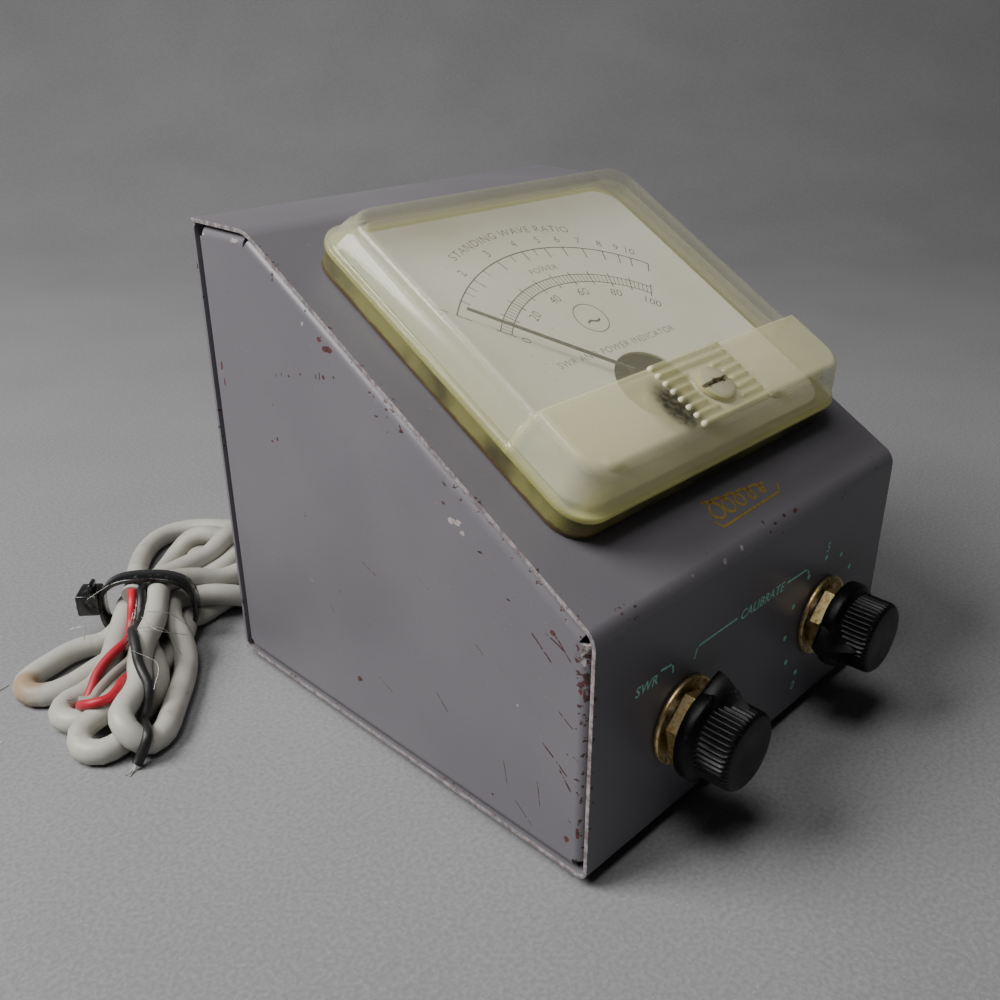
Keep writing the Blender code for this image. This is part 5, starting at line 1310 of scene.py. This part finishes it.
def knob_body(name, centre_x, pointing):
    """A fluted barrel over a smooth round skirt, with a beak that rises from the skirt."""
    steps = FLUTES * 8
    vertices, faces = [], []
    # radius, distance off the panel, depth of the flutes
    levels = [
        (3.4, 4.7, 0.0), (8.9, 4.7, 0.0), (9.2, 4.9, 0.0), (9.3, 5.2, 0.0), (9.25, 7.0, 0.0),
        (9.0, 7.5, 0.0), (8.6, 7.75, 0.0), (8.1, 7.9, 0.0), (7.9, 8.15, 0.15), (7.75, 8.6, 0.42),
        (7.72, 11.0, 0.42), (7.70, 13.4, 0.42), (7.6, 13.9, 0.36), (7.35, 14.3, 0.20), (7.0, 14.6, 0.06),
        (6.4, 14.76, 0.0), (4.5, 14.86, 0.0), (2.0, 14.9, 0.0), (0.01, 14.9, 0.0),
    ]
    for radius, off, flute in levels:
        for i in range(steps):
            a = 2 * math.pi * i / steps
            wave = 0.5 - 0.5 * math.cos(FLUTES * a)
            r = radius - flute * (1.0 - wave**0.6)
            vertices.append(on_front(centre_x + r * math.cos(a), KNOB_HEIGHT + r * math.sin(a), off))
    for row in range(len(levels) - 1):
        for i in range(steps):
            on = (i + 1) % steps
            faces.append((row * steps + i, row * steps + on, (row + 1) * steps + on, (row + 1) * steps + i))
    # the beak, lofted off the panel
    base = len(vertices)
    sections = [
        (4.9, 11.3), (5.1, 11.7), (5.6, 11.8), (6.6, 11.55), (7.6, 11.1), (8.6, 10.5), (9.6, 9.85),
        (10.6, 9.2), (11.6, 8.55), (12.6, 7.95), (13.3, 7.45), (13.7, 6.8),
    ]
    profile = 17
    for off, tip in sections:
        foot = 0.97 * (9.0 if off < 7.4 else max(6.6, 9.0 - (off - 7.4) * 0.9))
        spread = math.radians(44 - 3.4 * (off - 4.9))
        for k in range(profile):
            t = 2 * k / (profile - 1) - 1
            side = abs(t)
            lean = math.copysign(side * spread, t)
            if side > 0.08:
                r = foot + (tip - foot) * (1 - side) ** 1.9
            else:
                r = tip - 0.25 * (side / 0.08) ** 2
            a = pointing + lean
            vertices.append(on_front(centre_x + r * math.cos(a), KNOB_HEIGHT + r * math.sin(a), off))
    for row in range(len(sections) - 1):
        for k in range(profile - 1):
            one = base + row * profile + k
            faces.append((one, one + 1, one + profile + 1, one + profile))
    for row in (0, len(sections) - 1):
        ring = [base + row * profile + k for k in range(profile)]
        faces.append(tuple(ring if row else ring[::-1]))
    made = new_piece(name, vertices, faces)
    shape = bmesh.new()
    shape.from_mesh(made.data)
    bmesh.ops.recalc_face_normals(shape, faces=shape.faces)
    shape.to_mesh(made.data)
    shape.free()
    return settle_modifiers(made, 50)


for prefix, centre_x, pointing, body in (
    ("switch", -KNOB_X, math.radians(76), "function_control"),
    ("pot", KNOB_X, math.radians(184), "level_control"),
):
    washer = turned_on_front(
        f"{prefix}_dished_washer", centre_x,
        [
            (4.95, 0.32), (8.5, 0.32), (8.8, 0.4), (8.9, 0.62), (8.88, 1.05), (8.7, 1.26), (8.4, 1.28),
            (8.1, 1.15), (7.7, 0.85), (6.9, 0.72), (5.3, 0.72), (4.95, 0.66),
        ],
    )
    finish_piece(washer, brass, "cabinet", "nickelled_brass", f"{prefix}_washer")
    finish_piece(
        refined(f"{prefix}_nut", f"{prefix}_hexagon", 0.25, 3), brass, "cabinet", "nickelled_brass",
        f"{prefix}_nut",
    )
    finish_piece(
        refined(f"{prefix}_body", f"{prefix}_housing", 0.25, 3), zinc, "cabinet", None, f"{prefix}_body",
    )
    finish_piece(
        refined(f"{prefix}_shaft", f"{prefix}_spindle", 0.2, 3), brass, body, None, f"{prefix}_shaft",
    )
    finish_piece(
        knob_body(f"{prefix}_fluted_knob", centre_x, pointing), bakelite, body, "bakelite",
        f"{prefix}_knob",
    )
    finish_piece(
        refined(f"{prefix}_set_screw", f"{prefix}_grub_screw", 0.08, 2), zinc, body, "screw_steel",
        f"{prefix}_set_screw",
    )
finish_piece(
    refined("switch_wafer", "switch_wafer_disc", 0.15, 2), phenolic, "cabinet", "phenolic_sheet",
    "switch_wafer",
)

# ---------------------------------------------------------------- the cord
# About a metre of screened cable with a warm grey vinyl jacket, tied in a hank behind the left
# rear corner.  Its stripped end shows a red, a black and a clear lead and the frayed screen.
CORD = 5.4
LEAD = 2.2
CLEAR_LEAD = 2.0
CORNER = np.array([-half_width, rear_y])
tie_low, tie_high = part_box("cable_tie")
TIE = np.array([-12.0, 23.0])
ALONG = np.array([math.cos(math.radians(228.5)), math.sin(math.radians(228.5))])
ACROSS = np.array([ALONG[1], -ALONG[0]])


def through_tie(across, height, towards_left):
    """Three points that carry a strand through the tie, in the order that it is followed."""
    places = [TIE + across * ACROSS + along * ALONG for along in (-5.0, 0.0, 5.0)]
    points = [(*p, height) for p in places]
    return points if towards_left else points[::-1]


low_row, middle_row, top_row = 4.1, 9.3, 14.3
grommet_low, grommet_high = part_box("cable_grommet")
grommet_x = (grommet_low[0] + grommet_high[0]) / 2 / MM - CORNER[0]
grommet_z = (grommet_low[2] + grommet_high[2]) / 2 / MM
on_floor = CORD / 2
cord_route = [
    (grommet_x, -8, grommet_z), (grommet_x, 0, grommet_z), (grommet_x, 8, grommet_z - 0.6),
    (grommet_x - 0.5, 17, grommet_z - 6.5), (grommet_x - 4, 25, on_floor + 2), (grommet_x - 11, 32, on_floor),
    (54, 35, on_floor), (42, 34, on_floor), (30, 33, on_floor), (18, 33, on_floor), (6, 31, on_floor),
]
cord_route += through_tie(2.7, low_row, True)
cord_route += [
    (-27, 15.5, 4), (-36, 12.5, 3), (-44.5, 16.5, 2.7), (-45.5, 22.5, 2.7), (-38, 25.5, 3), (-28, 28.5, 4),
]
cord_route += through_tie(8.1, low_row, False)
cord_route += [
    (-9.5, 37.5, 5), (-4.6, 46.5, 5), (2.7, 57.6, 4), (11, 65.4, 3), (19, 67.1, 2.7), (26.5, 62.5, 2.7),
    (31.5, 54, 2.7), (33, 45, 3), (30, 37.5, 7.8), (22, 32.5, 8), (11, 29, 8),
]
cord_route += through_tie(-2.7, low_row, True)
cord_route += [(-24.5, 5.8, 4), (-34, 0.2, 3), (-41, -1.5, 2.7), (-43.2, 4.5, 3), (-36, 9.5, 8), (-26, 15, 9)]
cord_route += through_tie(5.4, middle_row, False)
cord_route += [
    (-4.2, 34.5, 9), (-0.2, 42.2, 7), (6.0, 49.2, 5), (13.5, 51.8, 4), (20.5, 49.3, 4), (24.5, 42, 7.8),
    (22, 35.5, 10), (14, 30.5, 12.5), (6, 27.5, 12),
]
cord_route += through_tie(0.0, middle_row, True)
cord_route += [
    (-24, 4.5, 8), (-33, -6.5, 4), (-40.5, -13.0, 2.7), (-45.3, -11.5, 2.7), (-43.5, -5.5, 3),
    (-35.5, -3.5, 8), (-27, 4.0, 5),
]
cord_route += through_tie(-8.1, low_row, False)
cord_route += [
    (9, 22, 2.7), (21, 23, 2.7), (33, 27, 2.7), (39, 35, 2.7), (37, 45, 2.7), (28.5, 50.5, 2.7),
    (18, 50, 2.7), (11.5, 45.8, 2.7), (14, 40.5, 2.7), (24, 38.5, 5), (33, 35, 8), (34, 27, 8), (24, 21, 8),
    (10, 19.5, 8),
]
cord_route += through_tie(-5.4, middle_row, True)
cord_route += [
    (-14.5, 3.2, 8), (-24, -8.5, 4), (-33, -17.3, 2.7), (-38.8, -15.2, 3), (-36.5, -9.5, 8), (-27.5, 0.0, 12),
]
cord_route += through_tie(-3.2, top_row, False)
cord_route += [
    (10, 24, 14), (22, 24, 12), (33, 27, 11), (36, 34, 11), (28, 38.5, 11), (18, 36, 12), (8, 31, 14),
]
end_points = through_tie(2.7, top_row, True)
cord_route += [end_points[0], end_points[1], tuple(np.array(end_points[2]) + np.array([1.4, 1.6, -0.3]))]
jacket_end = np.array(cord_route[-1])

leads = {
    "lead_red": (
        LEAD,
        [
            (0, 0, 0), (-18.6, 17.2, 15.8), (-23.0, 14.6, 15.2), (-28.0, 12.0, 14.5), (-34, 9.4, 13.5),
            (-38.9, 5.6, 12.5), (-41.2, -0.6, 11.5), (-40.2, -5.4, 11), (-36.6, -5.2, 11.5),
            (-31.5, -1.4, 13.5), (-27.4, 2.6, 15),
        ],
    ),
    "lead_black": (
        LEAD,
        [
            (0, 0, 0), (-17.4, 14.0, 17.2), (-20.6, 9.6, 16.6), (-24.2, 4.4, 15.5), (-28.6, -2.6, 13.4),
            (-33.6, -10.6, 10.6), (-37.6, -16.4, 7.4), (-39.4, -19.4, 5.6),
        ],
    ),
    "lead_clear": (
        CLEAR_LEAD,
        [
            (0, 0, 0), (-20.5, 12.2, 15.5), (-24.4, 9.4, 14.9), (-29.5, 7.2, 14.4), (-33.0, 4.6, 13.9),
            (-36.0, 2.6, 13.2), (-38.6, 1.8, 12.8), (-39.9, 3.2, 12.6),
        ],
    ),
}
starts = {"lead_red": (0.9, 0.7), "lead_black": (-1.0, 0.5), "lead_clear": (0.2, -0.8)}
for name, (size, route) in leads.items():
    across, up = starts[name]
    route[0] = (*(jacket_end[:2] - 3.0 * ALONG + across * ACROSS), jacket_end[2] + up)


def catmull_rom(points, spacing):
    """Points at an even spacing on a smooth curve through the route."""
    route = np.array(points, float)
    ends = np.vstack([2 * route[0] - route[1], route, 2 * route[-1] - route[-2]])
    fine = []
    for before, start, end, after in zip(ends, ends[1:], ends[2:], ends[3:]):
        for t in np.linspace(0, 1, 12, endpoint=False):
            fine.append(0.5 * (
                2 * start + (end - before) * t + (2 * before - 5 * start + 4 * end - after) * t**2
                + (3 * start - before - 3 * end + after) * t**3
            ))
    fine = np.array(fine + [route[-1]])
    run = np.concatenate([[0], np.cumsum(np.linalg.norm(np.diff(fine, axis=0), axis=1))])
    even = np.linspace(0, run[-1], max(4, round(run[-1] / spacing) + 1))
    return np.stack([np.interp(even, run, fine[:, k]) for k in range(3)], axis=1)


# what each round of settling does, in millimetres or as a share of what is left to do
SINK, BACK_TO_ROUTE, PUSH_APART, SOFTEN, STIFFEN, OPEN_UP = 0.06, 0.04, 0.35, 0.10, 0.06, 0.25
FOLD_BEND = 1.75  # the least bend that a fold opens up to, in the cord's radii


def settle(chains, rounds):
    """Lets strands that run through each other push apart, sink and open their folds until they rest."""
    spots = np.vstack([points for points, radius, held in chains])
    radii = np.concatenate([np.full(len(p), r) for p, r, held in chains])
    chain = np.concatenate([np.full(len(p), i) for i, (p, r, held) in enumerate(chains)])
    order = np.arange(len(spots))
    held = np.concatenate([h for p, r, h in chains])
    aim = spots.copy()
    reach = radii[:, None] + radii[None, :]
    near = (chain[:, None] == chain[None, :]) & (abs(order[:, None] - order[None, :]) < 6)
    inner = (chain[1:-1] == chain[:-2]) & (chain[1:-1] == chain[2:])
    folds = []
    for gap in (3, 5, 7):
        run = np.convolve(np.linalg.norm(np.diff(aim, axis=0), axis=1), np.ones(gap), "valid")
        bend = FOLD_BEND * radii[gap:]
        chord = 2 * bend * np.sin(np.minimum(run / (2 * bend), 1.45))
        folds.append((gap, np.where(chain[gap:] == chain[:-gap], chord, 0.0)))
    for _ in range(rounds):
        before = spots.copy()
        spots[:, 2] -= SINK
        spots[:, :2] += BACK_TO_ROUTE * (aim - spots)[:, :2]
        apart = spots[:, None, :] - spots[None, :, :]
        far = np.sqrt((apart**2).sum(axis=2)) + 1e-9
        press = np.where((far < reach) & ~near, (reach - far) / far, 0.0)
        weight = radii[None, :] ** 2 / (radii[None, :] ** 2 + radii[:, None] ** 2)
        spots += PUSH_APART * ((press * weight)[:, :, None] * apart).sum(axis=1)
        middle = 0.5 * (spots[:-2] + spots[2:])
        spots[1:-1] += np.where(inner[:, None], SOFTEN * (middle - spots[1:-1]), 0.0)
        stiff = spots[:-4] - 4 * spots[1:-3] + 6 * spots[2:-2] - 4 * spots[3:-1] + spots[4:]
        spots[2:-2] -= np.where((inner[:-2] & inner[1:-1] & inner[2:])[:, None], STIFFEN * stiff, 0.0)
        for gap, chord in folds:
            across = spots[gap:] - spots[:-gap]
            span = np.linalg.norm(across, axis=1) + 1e-9
            push = (OPEN_UP * np.maximum(0.0, chord - span) / span)[:, None] * across
            spots[gap:] += push
            spots[:-gap] -= push
        spots[:, 2] = np.maximum(spots[:, 2], radii)
        spots[held] = before[held]
    return np.split(spots, np.flatnonzero(np.diff(chain)) + 1)


def held_places(points):
    """Holds the points in the tie and at the cord's two ends."""
    from_tie = np.linalg.norm(points[:, :2] - TIE, axis=1)
    along = abs((points[:, :2] - TIE) @ ALONG)
    held = (from_tie < 12) & (along < 3.0)
    held[:8] = True
    held[-2:] = True
    return held


cord_points = catmull_rom(cord_route, 2.4)
chains = [(cord_points, CORD / 2 + 0.03, held_places(cord_points))]
for name, (size, route) in leads.items():
    points = catmull_rom(route, 1.6)
    held = np.zeros(len(points), bool)
    held[:4] = True
    chains.append((points, size / 2, held))
settled = settle(chains, 260)


def smoothed(points, spacing):
    return catmull_rom(points[::2] if len(points) % 2 else np.vstack([points[::2], points[-1]]), spacing)


def in_row(points):
    return (np.array(points) + np.array([*CORNER, 0.0])) * MM


def laid_curve(name, points, diameter, resolution):
    curve = bpy.data.curves.new(name, "CURVE")
    curve.dimensions = "3D"
    curve.bevel_depth = diameter * MM / 2
    curve.bevel_resolution = resolution
    curve.use_fill_caps = True
    spline = curve.splines.new("POLY")
    spline.points.add(len(points) - 1)
    for point, place in zip(spline.points, in_row(points)):
        point.co = (*place, 1.0)
    spline.use_smooth = True
    made = bpy.data.objects.new(name, curve)
    bpy.context.scene.collection.objects.link(made)
    return made


def vinyl(name, colour, dirt, roughness, stained=False):
    """Soft extruded vinyl: a faint orange peel, rubbed-in dirt in patches and small scuffs."""
    made = Finish(name, Roughness=roughness, Specular_IOR_Level=0.4)
    patch = made.noise(55, 4).rise(0.48, 0.72)
    speck = made.noise(420, 3).rise(0.60, 0.74)
    soiled = made.tint((0.5 * patch + 0.5 * speck * patch).lower(1.0), colour, dirt)
    if stained:
        x, y, z = made.axes(made.place((1000.0, 1000.0, 1000.0)))
        from_stain = (x + 95.5) * (x + 95.5) + (y - 79.0) * (y - 79.0) + 30 * (made.noise(300, 4) - 0.5)
        soiled = made.tint(0.7 * from_stain.rise(26.0, 6.0), soiled, (0.30, 0.17, 0.06))
    made.feed(Base_Color=soiled)
    made.feed(Roughness=roughness + 0.18 * patch)
    made.bump(made.noise(260, 3) + 0.3 * speck, 0.12 * MM, 0.5)
    return made


jacket = vinyl("cord_vinyl", (0.46, 0.45, 0.40), (0.21, 0.19, 0.15), 0.42, True)
main_points = smoothed(settled[0], 2.2)
cord = laid_curve("cord", main_points, CORD, 6)
cord.data.materials.append(jacket.material)
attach(cord, "cabinet")
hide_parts("cord_lead", "cord_hank", "cord_end")

lead_finishes = {
    "lead_red": vinyl("red_insulation", (0.50, 0.018, 0.035), (0.22, 0.01, 0.02), 0.38),
    "lead_black": vinyl("black_insulation", (0.018, 0.018, 0.018), (0.05, 0.048, 0.045), 0.42),
    "lead_clear": vinyl("clear_insulation", (0.36, 0.35, 0.31), (0.20, 0.18, 0.15), 0.30),
}
lead_curves = {}
for (name, (size, route)), points in zip(leads.items(), settled[1:]):
    line = smoothed(points, 1.2)
    made = laid_curve(f"{name[5:]}_lead", line, size, 5)
    made.data.materials.append(lead_finishes[name].material)
    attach(made, "cabinet")
    lead_curves[name] = (made, line)
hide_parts("lead_red")
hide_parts("lead_black")
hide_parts("lead_shield")
# the cable tie: a glossy ratchet strap drawn round the hank, with its square head at the left
TIE_HALF, TIE_HIGH, TIE_BAND, TIE_WALL = 11.75, 18.3, 4.6, 1.1
tie_ring = []
for a in np.linspace(0, 2 * math.pi, 72, endpoint=False):
    c, s = math.cos(a), math.sin(a)
    round_off = 2 / 2.7
    tie_ring.append((
        math.copysign(abs(c) ** round_off, c), math.copysign(abs(s) ** round_off, s),
    ))
tie_vertices, tie_faces = [], []
tie_section = [(-TIE_BAND / 2, 0.18), (-TIE_BAND / 2, TIE_WALL - 0.18), (-TIE_BAND / 2 + 0.25, TIE_WALL),
               (TIE_BAND / 2 - 0.25, TIE_WALL), (TIE_BAND / 2, TIE_WALL - 0.18), (TIE_BAND / 2, 0.18),
               (TIE_BAND / 2 - 0.25, 0.0), (-TIE_BAND / 2 + 0.25, 0.0)]


def on_tie(across, along, height):
    return in_row([(*(TIE + across * ACROSS + along * ALONG), height)])[0]


for c, s in tie_ring:
    for along, out in tie_section:
        inner_half, inner_high = TIE_HALF - TIE_WALL, (TIE_HIGH - 0.3) / 2 - TIE_WALL
        tie_vertices.append(on_tie(
            -c * (inner_half + out), along, 0.25 + (TIE_HIGH - 0.25) / 2 + s * (inner_high + out),
        ))
ring_size, section_size = len(tie_ring), len(tie_section)
for i in range(ring_size):
    on = (i + 1) % ring_size
    for k in range(section_size):
        other = (k + 1) % section_size
        tie_faces.append((
            i * section_size + k, i * section_size + other, on * section_size + other, on * section_size + k,
        ))
tie_strap = new_piece("tie_strap", tie_vertices, tie_faces)
tie_middle = np.array([(tie_low[axis] + tie_high[axis]) / 2 / MM for axis in range(2)])
HEAD_SIDE = -1.0 if ACROSS @ (tie_middle - CORNER - TIE) < 0 else 1.0


def tie_block(low, high):
    corners = [
        on_tie(HEAD_SIDE * across, along, height)
        for across in (low[0], high[0]) for along in (low[1], high[1]) for height in (low[2], high[2])
    ]
    block = new_piece(
        "block", corners,
        [(0, 1, 3, 2), (4, 6, 7, 5), (0, 4, 5, 1), (2, 3, 7, 6), (0, 2, 6, 4), (1, 5, 7, 3)],
    )
    ease_edges(block, 0.5, 4)
    return settle_modifiers(block)


tie_head = tie_block((11.2, -3.4, 8.9), (16.4, 3.4, 14.4))
tie_tail = tie_block((12.4, -1.9, 14.0), (13.5, 1.9, 16.6))
tie_lip = tie_block((16.0, -2.2, 9.8), (17.0, 2.2, 11.2))
tie = joined("cable_tie_strap", [tie_strap, tie_head, tie_tail, tie_lip])
shape = bmesh.new()
shape.from_mesh(tie.data)
bmesh.ops.recalc_face_normals(shape, faces=shape.faces)
shape.to_mesh(tie.data)
shape.free()
tie.data.shade_smooth()
tie.data.set_sharp_from_angle(angle=math.radians(50))
nylon = Finish("black_nylon", Specular_IOR_Level=0.6)
nylon_scuff = nylon.noise(700, 5)
nylon.feed(
    Base_Color=nylon.tint(nylon_scuff.rise(0.55, 0.75), (0.010, 0.010, 0.011), (0.055, 0.053, 0.05)),
    Roughness=0.16 + 0.35 * nylon_scuff.rise(0.45, 0.75),
)
nylon.bump(nylon.noise(500, 3), 0.03 * MM, 0.4)
finish_piece(tie, nylon, "cabinet", "tie_black", "cable_tie")

# the frayed screen: fine tinned strands that spread from the jacket's end, and the bare lead tips
tin = Finish("tinned_strand", Metallic=0.9, Roughness=0.35)
tin_cloud = tin.noise(1500, 4)
tin.feed(
    Base_Color=tin.tint(tin_cloud, (0.62, 0.60, 0.56), (0.28, 0.26, 0.23)),
    Roughness=0.25 + 0.3 * tin_cloud,
)
chance = np.random.default_rng(7)
hair_curve = bpy.data.curves.new("screen_strands", "CURVE")
hair_curve.dimensions = "3D"
hair_curve.bevel_depth = 0.075 * MM
hair_curve.bevel_resolution = 1
lead_lines = {name: line for name, (made, line) in lead_curves.items()}


def strand(points):
    """One fine wire through the points, never below the floor."""
    spline = hair_curve.splines.new("POLY")
    even = catmull_rom(points, 0.9)
    even[:, 2] = np.maximum(even[:, 2], 0.12)
    spline.points.add(len(even) - 1)
    for point, place in zip(spline.points, in_row(even)):
        point.co = (*place, 1.0)


guide = 0.5 * (
    catmull_rom(lead_lines["lead_black"], 1.0)[:26] + catmull_rom(lead_lines["lead_clear"], 1.0)[:26]
)
root = np.array(main_points[-1])
guide = [p for p in guide if np.linalg.norm(p - root) > 0.5]
for number in range(64):
    reach = chance.uniform(0.35, 1.0)
    count = max(4, int(reach * len(guide)))
    side = chance.normal(0, 1.0, 3) * np.array([0.7, 0.7, 0.35])
    curl = chance.uniform(-1, 1, 3) * np.array([2.4, 2.4, 0.9]) * chance.uniform(0.2, 1.0) ** 2
    turns = chance.uniform(0, 2 * math.pi)
    points = []
    for k, base in enumerate(guide[:count:3]):
        t = k / max(1, len(guide[:count:3]) - 1)
        wave = np.array(
            [math.sin(turns + 5 * t), math.cos(turns + 5 * t), 0.4 * math.sin(turns + 3 * t)]
        ) * 0.55
        points.append(
            np.array(base) + side * (0.35 + 0.8 * t) + wave * (0.4 + t) + curl * t * t
            + np.array([0, 0, 0.6])
        )
    strand(points)
for start, bend, end in [
    ((-13.5, 24.0, 17.8), (-18.5, 26.5, 17.0), (-25.0, 27.5, 14.8)),
    ((-23.0, 6.0, 15.5), (-18.5, 2.5, 14.5), (-17.5, -1.5, 9.0)),
    ((-28.0, 0.5, 14.5), (-25.0, -5.0, 12.0), (-28.5, -9.0, 9.0)),
    ((-19.0, 9.5, 16.5), (-15.0, 6.5, 15.5), (-12.5, 3.5, 12.5)),
    ((-21.0, 8.0, 16.5), (-20.5, 2.0, 15.5), (-15.0, -1.0, 13.0)),
    ((-33.0, 12.5, 14.0), (-31.0, 16.0, 15.0), (-33.5, 19.0, 14.0)),
]:
    strand([start, bend, end])
strand(
    [(-46.0, 29.0, 0.12), (-51.0, 27.0, 0.12), (-55.5, 20.5, 0.12), (-57.0, 13.0, 0.12), (-55.5, 9.0, 0.12)]
)
for name in ("lead_red", "lead_black", "lead_clear"):
    line = np.array(lead_lines[name])
    tip, along = line[-1], line[-1] - line[-2]
    along = along / np.linalg.norm(along)
    for number in range(7):
        spread = chance.normal(0, 0.28, 3)
        strand(
            [
                tip - along * 0.6 + spread * 0.4, tip + along * 0.9 + spread * 0.7,
                tip + along * chance.uniform(1.6, 2.6) + spread * 1.6,
            ]
        )
strands = bpy.data.objects.new("screen_strands", hair_curve)
bpy.context.scene.collection.objects.link(strands)
graph = bpy.context.evaluated_depsgraph_get()
strand_mesh = bpy.data.meshes.new_from_object(strands.evaluated_get(graph))
bpy.data.objects.remove(strands)
strand_piece = bpy.data.objects.new("frayed_screen", strand_mesh)
bpy.context.scene.collection.objects.link(strand_piece)
strand_piece.data.shade_smooth()
finish_piece(strand_piece, tin, "cabinet", "tinned_braid")

for name, (size, route) in leads.items():
    made, line = lead_curves[name]
    size * MM
